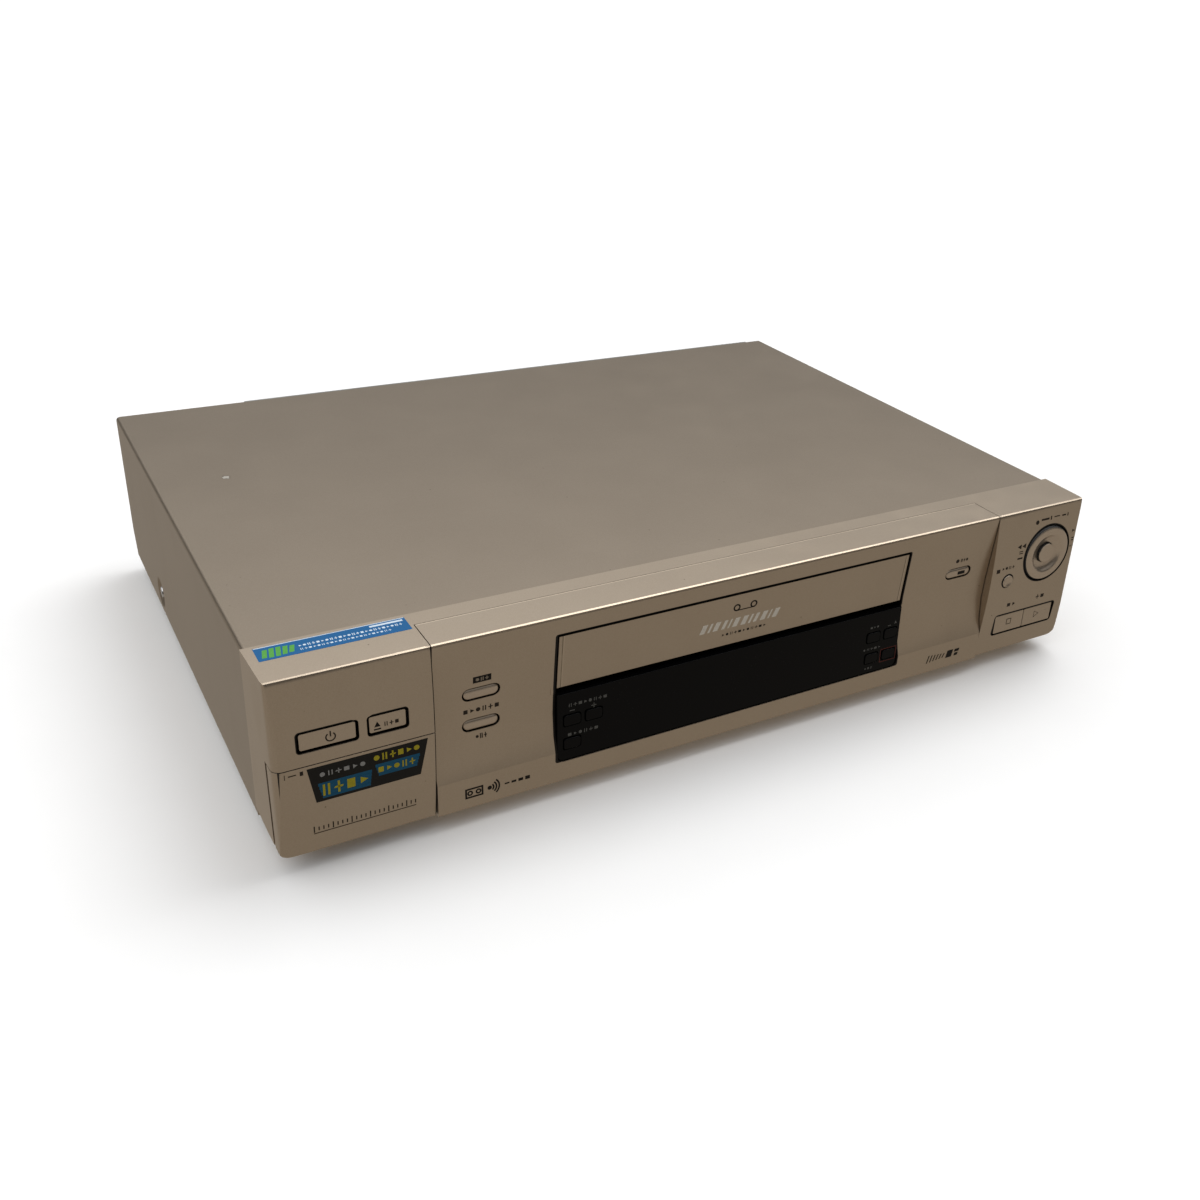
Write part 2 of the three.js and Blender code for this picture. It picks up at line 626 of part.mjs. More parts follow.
function avDoor() {
  const right = seamLeft - front.seam / 2;
  const region = join(
    block([-half - overrun, right], [throughWall[0], door.axisBack], [-overrun, doorHigh - run]),
    block([-half - overrun, right], [throughWall[0], door.returnDepth], [door.axisRise, doorHigh - run]),
    rod('x', [-half - overrun, right], [door.axisBack, door.axisRise], door.returnDepth - door.axisBack));
  const hollow = cut(panelBlock(door.wall), block([right - door.wall, half + overrun],
    [throughWall[0], front.depthLow + 2 * overrun], [-overrun, body.height + overrun]));
  const lid = block([-half, right - door.wall],
    [front.lowRecede + door.wall + overrun, door.returnDepth + overrun],
    [door.wall, body.height]);
  const shell = cut(common(panelBlock(0), region), hollow, lid);
  const wall = panelFace(0) + door.wall;
  const notches = lugPlaces.map((x) => block([x - door.lugWidth - door.baseClear, x + door.baseClear],
    [wall, door.returnDepth + overrun], [-overrun, door.axisRise + door.lugRadius + door.baseClear]));
  return join(cut(shell, ...notches), ...lugPlaces.map((x, i) => doorPivot(x, i === 0 ? 1 : -1, wall)));
}

// A lug on the door beside the bezel's one, with the pin that enters its hole. side is 1 on its right.
function doorPivot(x, side, wall) {
  const near = side > 0 ? x + run : x - door.lugWidth - run;
  const across = side > 0 ? [near, near + door.lugWidth] : [near - door.lugWidth, near];
  const pinEnd = side > 0 ? x - door.lugWidth + seat : x - seat;
  const pinSpan = side > 0 ? [pinEnd, near + seat] : [near - seat, pinEnd];
  const axis = [door.axisBack, door.axisRise];
  const web = block(across, [wall - door.wall / 2, door.axisBack],
    [door.wall / 2, door.axisRise + door.lugRadius]);
  return join(rod('x', across, axis, door.lugRadius), web,
    rod('x', pinSpan, axis, door.pinRadius, door.pinRadius, steps.tiny));
}

// Keys: a cap through the wall, with a flange behind it

function keySolid(shapeAt, gap, faceY, wallBack) {
  const cap = prism(shapeAt(-gap), 'y', faceY, wallBack + key.flangeGap + key.flangeDepth);
  const flangeFront = wallBack + key.flangeGap;
  const flange = prism(shapeAt(key.flange), 'y', flangeFront, flangeFront + key.flangeDepth);
  return join(cap, flange);
}

function rectangularKeys() {
  return Object.entries(rectKeyPlaces).map(([name, place]) => {
    const middle = (rectKeyRows[0] + rectKeyRows[1]) / 2;
    const face = panelFace(middle) + rectKeys.sunk;
    return piece(name, keySolid(pairedShape(place, rectKeyRows, rectKeys.radius, name === 'eject_button',
      true),
      rectKeys.gap, face, panelFace(rectKeyRows[0]) + front.wall), finish.frontPaint);
  });
}

// Two keys side by side: the flange stays short of the neighbour on the shared side. Keys without a bar
// between them, as barred says, meet there with no more than their clearance.
function pairedShape([x0, x1], z, radius, sharedLeft, barred) {
  return (gap) => {
    const clear = barred ? gap : 0;
    const shared = gap > 0 ? -run : clear;
    const span = sharedLeft ? [x0 - shared, x1 + gap] : [x0 - gap, x1 + shared];
    return roundedRect(span, grown(z, gap), Math.max(radius + Math.min(gap, 0), radius / 2));
  };
}

function tapeKeysPair() {
  return Object.entries(tapeKeyPlaces).map(([name, place]) => {
    const middle = (tapeKeys.low + tapeKeys.high) / 2;
    const play = name === 'play_button';
    const clear = play ? [place[0] + run / 2, place[1]] : [place[0], place[1] - run / 2];
    const shape = pairedShape(clear, [tapeKeys.low, tapeKeys.high], tapeKeys.radius, play, false);
    return piece(name, keySolid(shape, tapeKeys.gap, panelFace(middle) + tapeKeys.sunk,
      panelFace(tapeKeys.low) + front.wall),
      finish.frontPaint);
  });
}

function ovalKeys() {
  return Object.entries(ovalPlaces).map(([name, place]) => {
    const face = fasciaFace(place[1]) - ovalKey.proud;
    const wallBack = Math.max(fasciaFace(place[1] - ovalKey.height), fasciaFace(place[1])) + front.wall;
    return piece(name, keySolid((gap) => ovalShape(place, gap), ovalKey.gap, face, wallBack),
      finish.frontPaint);
  });
}

function roundKeyPiece() {
  const centre = [fromRight(roundKey.fromRight), roundKeyZ];
  const face = panelFace(roundKeyZ) - roundKey.proud;
  const flangeFront = panelFace(roundKeyZ) + front.wall + key.flangeGap + run;
  const cap = rod('y', [face, flangeFront + key.flangeDepth], centre, roundKey.radius);
  const flange = rod('y', [flangeFront, flangeFront + key.flangeDepth], centre,
    roundKey.radius + run + key.flange);
  return piece('round_button', join(cap, flange), finish.frontPaint);
}

function lensKeyPieces() {
  return Object.entries(lensKeyPlaces).map(([name, place]) => {
    const face = lensFace(place[1]) - key.flangeGap;
    const back = lensFace(place[1]) + lens.thickness + key.flangeGap;
    return piece(name, prism(lensKeyShape(place, 0), 'y', face, back, steps.keyArc), finish.blackGloss);
  });
}

// Shuttle ring and the button in its middle, turned about the dial's own axis and laid along Y

function shuttleRing() {
  const outer = dial.radius;
  const dishEdge = outer - dial.rim;
  const hubEnd = -dial.thickness - dial.hubLength;
  return turned([
    [dial.boreRadius, -dial.dish], [dial.boreRadius, hubEnd], [dial.hubRadius, hubEnd],
    [dial.hubRadius, -dial.thickness], [outer, -dial.thickness], [outer, -dial.chamfer],
    [outer - dial.chamfer, 0], [dishEdge, 0], [dishEdge - dial.chamfer, -dial.dish / 2],
    [dial.boreRadius, -dial.dish],
  ]);
}

function pauseButton() {
  const radius = dial.boreRadius - run;
  const back = -dial.thickness - dial.hubLength - key.travel;
  const crown = key.travel / 3;
  return turned([
    [0, back], [radius, back], [radius, -dial.buttonSunk - crown], [radius - crown, -dial.buttonSunk],
      [0, -dial.buttonSunk],
  ]);
}

function dialGroup() {
  const group = new THREE.Group();
  group.add(piece('shuttle_ring', shuttleRing(), finish.frontPaint));
  group.add(piece('pause_button', pauseButton(), finish.frontPaint));
  group.rotation.x = Math.PI / 2;
  group.position.set(dialX, dialFace - dial.proud, dialZ);
  return group;
}

// Folded steel cover

function topCover() {
  const arcAt = (shape, x, z, radius, start, end, clockwise) => shape.absarc(x, z, radius, start, end,
    clockwise);
  const inner = Math.max(cover.foldRadius - cover.wall, cover.wall / 2);
  const shape = new THREE.Shape();
  shape.moveTo(-coverSide, cover.low);
  shape.lineTo(-coverSide, coverTop - cover.foldRadius);
  arcAt(shape, -coverSide + cover.foldRadius, coverTop - cover.foldRadius, cover.foldRadius, Math.PI,
    Math.PI / 2, true);
  shape.lineTo(coverSide - cover.foldRadius, coverTop);
  arcAt(shape, coverSide - cover.foldRadius, coverTop - cover.foldRadius, cover.foldRadius, Math.PI / 2,
    0, true);
  shape.lineTo(coverSide, cover.low);
  shape.lineTo(coverInnerSide, cover.low);
  arcAt(shape, coverInnerSide - inner, coverInnerTop - inner, inner, 0, Math.PI / 2, false);
  arcAt(shape, -coverInnerSide + inner, coverInnerTop - inner, inner, Math.PI / 2, Math.PI, false);
  shape.lineTo(-coverInnerSide, cover.low);
  const sheet = prism(shape, 'y', front.depthTop - overrun, body.coverRear);
  const edge = cut(sheet, frontOfCover(), rearChamfer());
  const seats = [dishSeat(), mirrored(dishSeat())];
  const holes = [dishHollow(), mirrored(dishHollow())];
  return cut(join(edge, ...seats), ...holes);
}

// Everything in front of the cover's slanting front edge.
function frontOfCover() {
  const top = front.depthTop + seat;
  const low = front.depthLow + seat;
  const outline = polygon([[-overrun, -overrun], [low, -overrun], [top, body.height + overrun],
    [-overrun, body.height + overrun]]);
  return prism(outline, 'x', -half - overrun, half + overrun);
}

function rearChamfer() {
  const back = body.coverRear;
  const outline = polygon([
    [back - cover.rearChamferDepth, -overrun], [back + overrun, -overrun],
      [back + overrun, cover.rearChamfer],
    [back, cover.rearChamfer], [back - cover.rearChamferDepth, cover.low],
  ]);
  return prism(outline, 'x', -half - overrun, half + overrun);
}

// The dished screw seat pressed into each side. This is the left one.
function dishSeat() {
  const inside = -coverSide + cover.wall + dish.depth;
  return rod('x', [-coverSide, inside], [dishY, dish.z], dish.radius + cover.wall,
    dish.floorRadius + cover.wall, steps.round);
}

function dishHollow() {
  const floor = -coverSide + dish.depth;
  const bowl = rod('x', [-coverSide, floor], [dishY, dish.z], dish.radius, dish.floorRadius, steps.round);
  return join(bowl, rod('x', [floor - cover.wall / 2, floor + cover.wall + overrun], [dishY, dish.z],
    dish.holeRadius));
}

// Steel base pan

function boardPosts(part, inset) {
  const places = [part.left + inset, part.right - inset].flatMap((x) => [part.front + inset,
    part.back - inset].map((y) => [x, y]));
  return places.map((place) => rod('z', [base.plate / 2, board.rise - seat], place, post.radius,
    post.radius, steps.tiny));
}

function deckPosts() {
  const x = deckHalf - deck.postInset;
  const places = [deck.front + deck.postInset, deckBack - deck.postInset].flatMap((y) => [[slotShift - x,
    y], [slotShift + x, y]]);
  const high = deck.top - deck.plate - seat;
  return places.map((place) => rod('z', [base.plate / 2, high], place, post.radius, post.radius,
    steps.tiny));
}

function basePan() {
  const through = [-overrun, base.plate + overrun];
  const plate = block([-baseSide, baseSide], [baseFront, baseBack], [0, base.plate]);
  const sideWall = block([baseSide - base.plate, baseSide], [baseFront, baseBack], [0, base.side]);
  const frontWall = block([-baseSide, baseSide], [baseFront, baseFront + base.plate], [0, base.front]);
  const backWall = block([-baseSide, baseSide], [baseBack - base.plate, baseBack], [0, base.rear]);
  const posts = [...boardPosts(mainBoard, post.radius * 2), ...boardPosts(powerBoard, post.radius * 2),
    ...deckPosts()];
  const notch = block([baseSide - base.plate - overrun, half],
    grown([dishY, dishY], dish.radius + base.tabGap),
    [base.plate, base.side + overrun]);
  const walls = cut(join(sideWall, mirrored(sideWall)), notch, mirrored(notch));
  const footHoles = footPlaces().map((place) => rod('z', through, place, foot.studRadius + run));
  const sideHoles = rod('x', [-half, half], [dishY, dish.z], screw.shankRadius + run);
  return cut(join(plate, walls, frontWall, backWall, screwTab(), mirrored(screwTab()), ...posts),
    ...footHoles, sideHoles, ...baseVents(), ...rearScrewHoles());
}

// The upright tab inside the right dish that the side screw bites into.
function screwTab() {
  const outer = coverSide - dish.depth - cover.wall - seat;
  return block([outer - base.plate, outer], grown([dishY, dishY], dish.radius - base.plate),
    [base.plate / 2, dish.z + dish.radius]);
}

function baseVents() {
  const fields = [[(powerBoard.left + powerBoard.right) / 2, powerBoard.front],
    [(mainBoard.left + mainBoard.right) / 2, powerBoard.front]];
  return fields.flatMap(([x, y]) => Array.from({ length: base.ventCount }, (unused, i) => {
    const at = x + (i - (base.ventCount - 1) / 2) * base.ventPitch;
    const start = y + base.ventLength;
    return block([at - base.ventWidth / 2, at + base.ventWidth / 2], [start, start + base.ventLength],
      [-overrun, base.plate + overrun]);
  }));
}

function footPlaces() {
  const x = half - foot.inset;
  return [[-x, baseFront + foot.setback], [x, baseFront + foot.setback], [-x, baseBack - foot.setback],
    [x, baseBack - foot.setback]];
}

function footSolid() {
  const top = -seat;
  return turned([
    [0, -foot.height], [foot.radius - foot.rim, -foot.height], [foot.radius, -foot.height + foot.rim],
      [foot.radius, top - foot.rim / 2],
    [foot.radius - foot.rim / 2, top], [foot.studRadius, top], [foot.studRadius, foot.studLength],
      [0, foot.studLength],
  ], steps.foot);
}

// Rear panel, stepped out behind the deck so that its top lip shows past the cover's rear edge

const rearScrewPlaces = [[-coverInnerSide / 2 - rear.stepLeft, base.rear / 2],
  [coverInnerSide - rear.ventPitch, base.rear / 2]];

function rearScrewHoles() {
  return rearScrewPlaces.map(([x, z]) => rod('y', [baseBack - base.plate - overrun, stepBack + overrun],
    [x, z],
    screw.shankRadius + seat));
}

function rearPanel() {
  const top = coverInnerTop - seat;
  const outline = roundedRect([-baseSide, baseSide], [rear.low, top], cover.wall);
  const plate = prism(outline, 'y', plateBack - rear.plate, plateBack);
  const stepFront = plateBack - rear.plate;
  const box = block([stepLeft, stepRight], [stepFront, stepBack], [rear.stepLow, top]);
  const lip = block([stepLeft, stepRight], [stepBack - rear.lipDepth, stepBack],
    [top - rear.plate, coverTop - rear.lipDrop]);
  const room = block([stepLeft + rear.plate, stepRight - rear.plate], [stepFront - overrun, stepInner],
    [rear.stepLow + rear.plate, top - rear.plate]);
  const inletHole = block(grown([inletX, inletX], inlet.width / 2 + seat), [stepFront - overrun, stepBack],
    grown([inlet.z, inlet.z], inlet.height / 2 + seat));
  const jackHoles = rearJackPlaces().map((place) => rod('y', [stepInner - overrun, stepBack + overrun],
    place, jack.radius + jack.holeGap));
  const tunerHoles = tunerBarrelPlaces().map((place) => rod('y',
    [stepInner - overrun, stepBack + overrun], place, tuner.barrelRadius + seat));
  return cut(join(plate, box, lip), room, inletHole, ...jackHoles, ...tunerHoles, ...rearVents(),
    ...rearScrewHoles());
}

function rearVents() {
  return Array.from({ length: rear.ventCount }, (unused, i) => {
    const x = -half + rear.ventX + (i - (rear.ventCount - 1) / 2) * rear.ventPitch + rear.ventPitch / 2;
    return block(grown([x, x], rear.ventWidth / 2), [plateBack - rear.plate - overrun, plateBack + overrun],
      grown([rear.ventZ, rear.ventZ], rear.ventLength / 2));
  });
}

function rearJackPlaces() {
  return [jack.rowLow, jack.rowHigh].flatMap((z) => Array.from({ length: jack.columns },
    (unused, i) => [firstJackX + i * jack.pitch, z]));
}

function jackBarrel([x, z], back, length, radius, bore) {
  const tip = back + length;
  return cut(rod('y', [back - front.wall, tip], [x, z], radius),
    rod('y', [tip - jack.boreDepth, tip + overrun], [x, z], bore, bore, steps.tiny));
}

function rearJackBlock() {
  const places = rearJackPlaces();
  const span = [firstJackX - jackBlock.margin, firstJackX + (jack.columns - 1) * jack.pitch
    + jackBlock.margin];
  const back = stepInner - seat;
  const moulding = block(span, [back - jackBlock.depth, back],
    [base.rear + seat, jack.rowHigh + jackBlock.margin]);
  return join(moulding, ...places.map((place) => jackBarrel(place, back, rear.plate + seat + jack.length,
    jack.radius, jack.bore)));
}

function tunerBarrelPlaces() {
  return [-1, 1].flatMap((side) => [-1, 1].map((row) => [tunerX + side * tuner.pitch / 2,
    tuner.z + row * tuner.rows / 2]));
}

function tunerCan() {
  const back = stepInner - seat;
  const low = boardTop + seat;
  const can = block(grown([tunerX, tunerX], tuner.width / 2), [back - tuner.depth, back],
    [low, low + tuner.height]);
  const barrels = tunerBarrelPlaces().map((place) => jackBarrel(place, back,
    rear.plate + seat + tuner.barrelLength,
    tuner.barrelRadius, tuner.bore));
  return join(can, ...barrels);
}

function mainsInlet() {
  const flangeFront = plateBack + seat;
  const back = flangeFront + inlet.flangeDepth;
  const flange = prism(roundedRect(grown([inletX, inletX], inlet.width / 2 + inlet.flange),
    grown([inlet.z, inlet.z], inlet.height / 2 + inlet.flange), inlet.flange), 'y', flangeFront, back);
  const housing = block(grown([inletX, inletX], inlet.width / 2),
    [back - inlet.depth, back - inlet.flangeDepth / 2],
    grown([inlet.z, inlet.z], inlet.height / 2));
  const half8 = inlet.recessHeight / 2;
  const recess = prism(roundedRect(grown([inletX, inletX], inlet.recessWidth / 2),
    grown([inlet.z, inlet.z], half8), half8 - seat),
    'y', back - inlet.recessDepth, back + overrun);
  const pins = [-1, 1].map((side) => rod('y', [back - inlet.recessDepth - overrun / 2,
    back - inlet.recessDepth + inlet.pinLength],
    [inletX + side * inlet.pinSpacing / 2, inlet.z], inlet.pinRadius, inlet.pinRadius, steps.tiny));
  return join(cut(join(flange, housing), recess), ...pins);
}

// Screws along -Y: head outside, shank inside, with a cross recess

function screwSolid() {
  const stem = turned([
    [0, -screw.length], [screw.shankRadius, -screw.length], [screw.shankRadius, 0], [screw.headRadius, 0],
    [screw.headRadius * screw.crownShare, screw.headHeight], [0, screw.headHeight],
  ], steps.small);
  const bar = [grown([0, 0], screw.recessSpan / 2), grown([0, 0], screw.recessWidth / 2)];
  const deep = [screw.headHeight - screw.recess, screw.headHeight + overrun];
  return cut(stem, block(bar[0], bar[1], deep), block(bar[1], bar[0], deep));
}

function screws() {
  const solid = screwSolid();
  const sideSeat = -coverSide + dish.depth - seat;
  const left = piece('screw_side_left', solid, finish.bright, [sideSeat, dishY, dish.z]);
  left.rotation.y = -Math.PI / 2;
  const right = piece('screw_side_right', solid, finish.bright, [-sideSeat, dishY, dish.z]);
  right.rotation.y = Math.PI / 2;
  const names = ['screw_rear_left', 'screw_rear_right'];
  const backs = rearScrewPlaces.map(([x, z], i) => {
    const mesh = piece(names[i], solid, finish.bright, [x, plateBack + seat, z]);
    mesh.rotation.x = -Math.PI / 2;
    return mesh;
  });
  return [left, right, ...backs];
}

// Boards: a plate with its main components standing on it

function standing(x, y, width, depth, height) {
  return block([x - width / 2, x + width / 2], [y - depth / 2, y + depth / 2],
    [boardTop - board.thickness / 2, boardTop + height]);
}

const chip = { startShare: 0.6, width: 24, depth: 24, height: 3, pitch: 40 };
const canSize = { radius: 6, height: 18, pitch: 20, tallShare: 1.4, wideShare: 1.2 };
const sink = { width: 46, wall: 3, height: 38, fins: 6, fin: 1.4, reach: 9 };
const transformer = { width: 44, depth: 38, height: 36, coil: 8, coilShare: 0.6 };

function mainBoardSolid() {
  const x = (mainBoard.left + mainBoard.right) / 2;
  const plate = block([mainBoard.left, mainBoard.right], [mainBoard.front, mainBoard.back],
    [board.rise, boardTop]);
  const room = mainBoard.back - tuner.depth - mainBoard.front;
  const count = Math.floor(room / chip.pitch);
  const chips = Array.from({ length: count }, (unused, i) => standing(x + (i % 2 ? 1 : -1) * chip.width / 2,
    mainBoard.front + chip.pitch * (i + chip.startShare), chip.width, chip.depth, chip.height));
  const cans = Array.from({ length: count - 1 },
    (unused, i) => rod('z', [boardTop - board.thickness / 2, boardTop + canSize.height],
    [x - (i % 2 ? 1 : -1) * chip.width, mainBoard.front + chip.pitch * (i + 1)], canSize.radius,
      canSize.radius, steps.tiny));
  return join(plate, ...chips, ...cans);
}

function powerBoardSolid() {
  const x = (powerBoard.left + powerBoard.right) / 2;
  const plate = block([powerBoard.left, powerBoard.right], [powerBoard.front, powerBoard.back],
    [board.rise, boardTop]);
  const coreY = powerBoard.front + transformer.depth;
  const core = standing(x - transformer.width / 2, coreY, transformer.width,
    transformer.depth * transformer.coilShare, transformer.height);
  const coil = standing(x - transformer.width / 2, coreY, transformer.width * transformer.coilShare,
    transformer.depth,
    transformer.height - transformer.coil);
  const sinkY = powerBoard.front + 2 * transformer.depth + sink.reach;
  const wall = standing(x, sinkY, sink.width, sink.wall, sink.height);
  const fins = Array.from({ length: sink.fins },
    (unused, i) => standing(x - sink.width / 2 + sink.fin
      + (sink.width - 2 * sink.fin) * i / (sink.fins - 1),
    sinkY + sink.reach / 2, sink.fin, sink.reach, sink.height));
  const cans = [0, 1, 2].map((i) => rod('z', [boardTop - board.thickness / 2,
    boardTop + canSize.height * canSize.tallShare],
    [x + transformer.width / 2 + canSize.radius, powerBoard.front + canSize.pitch * (i + 1)],
    canSize.radius * canSize.wideShare));
  return join(plate, core, coil, wall, ...fins, ...cans);
}

function frontBoardSolid() {
  const span = [seamLeft + front.seam / 2 + front.wall + seat,
    seamRight - front.seam / 2 - front.wall - seat];
  const face = frontBoard.back - board.thickness;
  const plate = block(span, [face, frontBoard.back], [frontBoard.low, frontBoard.high]);
  const stem = key.travel + lens.thickness;
  const switches = Object.values(lensKeyPlaces).map((place) => {
    const back = lensFace(place[1]) + lens.thickness + key.flangeGap + key.travel + seat;
    return block(grown([place[0], place[0]], stem / 2), [back, face + board.thickness / 2],
      grown([place[1], place[1]], stem / 2));
  });
  return join(plate, ...switches);
}

function displayTube() {
  const back = frontBoard.back - board.thickness - seat;
  return prism(roundedRect(grown([slotShift, slotShift], tube.width / 2), [tube.low, tube.high],
    tube.corner), 'y', tube.front, back);
}

function frontJackBlock() {
  const left = -half + front.taper + front.wall + seat;
  const right = seamLeft - front.seam / 2 - front.wall - seat;
  const back = bayPanel.front + bayPanel.thickness;
  const panel = block([left, right], [bayPanel.front, back], [bayPanel.low, doorHigh - seat]);
  const places = Array.from({ length: bayPanel.jacks },
    (unused, i) => [left + bayPanel.first + i * bayPanel.pitch, bayPanel.row]);
  const jacks = places.map((place) => rod('y', [bayPanel.front - bayPanel.jackLength, back], place,
    bayPanel.jackRadius));
  const round = rod('y', [bayPanel.front - bayPanel.thickness, back],
    [places[0][0], bayPanel.row + bayPanel.pitch],
    bayPanel.jackRadius + bayPanel.thickness);
  const bores = places.map((place) => rod('y', [bayPanel.front - bayPanel.jackLength - overrun,
    bayPanel.front], place,
    jack.bore, jack.bore, steps.tiny));
  return cut(join(panel, ...jacks, round), ...bores);
}

// Tape deck. Heights are over the deck plate's top, and X is from the cassette's middle.

function deckFrame() {
  const shape = roundedRect([-deckHalf, deckHalf], [deck.front, deckBack], deck.corner);
  const plate = prism(shape, 'z', -deck.plate, 0);
  const reelPosts = [-1, 1].map((side) => rod('z', [-deck.plate / 2, reel.rise + reel.boreDepth - seat],
    [side * reel.spacing / 2, reelY], reel.shaft, reel.shaft, steps.tiny));
  const bearing = rod('z', [-deck.plate / 2, capstan.bearingHigh], [capstanX, capstanY], capstan.bearing);
  const pinchPost = rod('z', [-deck.plate / 2, pinch.postHigh], [pivotX, pivotY], pinch.postRadius,
    pinch.postRadius, steps.tiny);
  const tapeSlots = [-1, 1].map((side) => guideSlot(side));
  const shaftHole = rod('z', [-deck.plate - overrun, capstan.bearingHigh + overrun], [capstanX, capstanY],
    capstan.radius + run);
  return cut(join(plate, ...reelPosts, bearing, pinchPost), ...tapeSlots, shaftHole);
}

// The straight slot that one tape guide sled runs in. side is -1 on the left.
function guideSlot(side) {
  const start = new THREE.Vector2(guide.startX, guide.startY);
  const end = new THREE.Vector2(guide.endX, guide.endY);
  const length = start.distanceTo(end);
  const angle = Math.atan2(end.y - start.y, end.x - start.x);
  const halfSlot = guide.slotWidth / 2;
  const reach = guide.keel / 2 + seat + halfSlot / 2;
  const geometry = new THREE.ExtrudeGeometry(roundedRect([-reach, length + reach], [-halfSlot, halfSlot],
    halfSlot / 2),
    { depth: deck.plate + 2 * overrun, bevelEnabled: false, curveSegments: 2 });
  geometry.rotateZ(angle).translate(start.x, drumY + start.y, -deck.plate - overrun);
  const solid = solidOf(geometry);
  return side < 0 ? mirrored(solid) : solid;
}

// One tape guide: a sled over the slot, a keel in it, and a post with its roller.
function guideSled() {
  const low = guide.sledRise;
  const top = low + guide.sled;
  const sled = prism(roundedRect(grown([0, 0], guide.sledWidth / 2), grown([0, 0], guide.sledWidth / 2),
    guide.sled / 2), 'z', low, top);
  const keel = rod('z', [-deck.plate, low + guide.sled / 2], [0, 0], guide.keel / 2, guide.keel / 2,
    steps.tiny);
  const pillar = rod('z', [top - guide.sled / 2, guide.postHigh], [0, 0], guide.postRadius,
    guide.postRadius, steps.tiny);
  const roller = rod('z', [guide.rollerLow, guide.postHigh - guide.sled / 2], [0, 0], guide.rollerRadius);
  return join(sled, keel, pillar, roller);
}

function railSolid() {
  const plate = block([railInner, railOuter], [rail.front, rail.back], [rail.low, railHigh]);
  const trackLength = carriage.travel + slider.length - 2 * slider.pinInset + rail.slotHeight
    + slider.pinRadius * 2;
  const track = block([railInner - overrun, railOuter + overrun],
    [rail.slotStart, rail.slotStart + trackLength],
    [trackLow, trackLow + rail.slotHeight]);
  const footPlate = block([railInner - rail.thickness * 2, railOuter],
    [deck.front + deck.corner * 2, rail.back], [rail.low, rail.low + rail.thickness]);
  return cut(join(plate, footPlate), track);
}

const sliderFront = rail.slotStart + carriage.travel + rail.slotHeight / 2
  + slider.pinRadius - slider.pinInset;
const trackMiddle = trackLow + rail.slotHeight / 2;

function sliderSolid() {
  const plate = block([sliderInner, sliderOuter], [sliderFront, sliderFront + slider.length],
    [sliderLow, sliderHigh]);
  const pins = sliderPinPlaces().map((y) => rod('x', [sliderOuter - slider.thickness / 2, railOuter],
    [y, trackMiddle],
    slider.pinRadius, slider.pinRadius, steps.tiny));
  const tracks = carriagePinPlaces().map((y) => block([sliderInner - overrun, sliderOuter + overrun],
    grown([y, y], carriage.slotWidth / 2),
    [carriagePin - carriage.drop - carriage.slotWidth / 2, carriagePin + carriage.slotWidth / 2]));
  return cut(join(plate, ...pins), ...tracks);
}

const sliderPinPlaces = () => [sliderFront + slider.pinInset,
  sliderFront + slider.length - slider.pinInset];
const carriagePin = carriageFloor + cassette.height / 2;
const sliderLow = carriagePin - carriage.drop - carriage.slotWidth / 2 - slider.pinRadius * slider.reach;
const carriagePinPlaces = () => [sliderFront + slider.length / 3, sliderFront + slider.length * 2 / 3];

function carriageSolid() {
  const inner = carriageInner;
  const outer = carriageOuter;
  const y = [carriage.front, carriage.front + carriage.depth];
  const floorLow = carriageFloor - carriage.plate;
  const roof = carriageFloor + cassette.height + carriage.headRoom;
  const floor = block([-outer, outer], y, [floorLow, carriageFloor]);
  const side = block([inner, outer], y, [floorLow, roof + carriage.plate]);
  const flange = block([inner - carriage.topFlange, outer], y, [roof, roof + carriage.plate]);
  const bridge = block([-outer, outer], [y[1] - carriage.backStop * 2, y[1]],
    [roof, roof + carriage.plate]);
  const stop = block([inner - carriage.backStop * 2, outer], [y[1] - carriage.plate, y[1]],
    [floorLow, roof + carriage.plate]);
  const pins = carriagePinPlaces().map((at) => rod('x', [outer - carriage.wall / 2, sliderOuter - seat / 2],
    [at, carriagePin], carriage.pinRadius, carriage.pinRadius, steps.tiny));
  const notches = [-1, 1].map((side2) => rod('z', [floorLow - overrun, carriageFloor + overrun],
    [side2 * reel.spacing / 2, reelY],
    carriage.hubNotch, carriage.hubNotch, steps.round));
  const rightHalf = join(side, flange, stop, ...pins);
  return cut(join(floor, bridge, rightHalf, mirrored(rightHalf)), ...notches);
}

function reelSolid() {
  const discLow = reel.rise;
  const discTop = discLow + reel.disc;
  const hubTop = discTop + reel.hub;
  const tip = hubTop + reel.spindle;
  const taper = reel.fin;
  const section = [
    [0, discLow + reel.boreDepth], [reel.bore, discLow + reel.boreDepth], [reel.bore, discLow],
      [reel.discRadius, discLow],
    [reel.discRadius, discTop - reel.rimStep], [reel.rimRadius, discTop - reel.rimStep],
      [reel.rimRadius, discTop],
    [reel.hubRadius, discTop], [reel.hubRadius, hubTop], [reel.spindleRadius, hubTop],
      [reel.spindleRadius, tip - taper],
    [reel.spindleRadius - taper, tip], [0, tip],
  ];
  const fins = Array.from({ length: reel.fins }, (unused, i) => {
    const fin = block([reel.bore + reel.fin / 2, reel.finReach], grown([0, 0], reel.fin / 2),
      [hubTop - reel.fin, tip - 2 * reel.fin]);
    return fin.rotate([0, 0, i * 360 / reel.fins]);
  });
  return join(turned(section, steps.foot), ...fins);
}

// Head drum on its own tilted axis: a fixed lower half on a pedestal, and the turning upper half

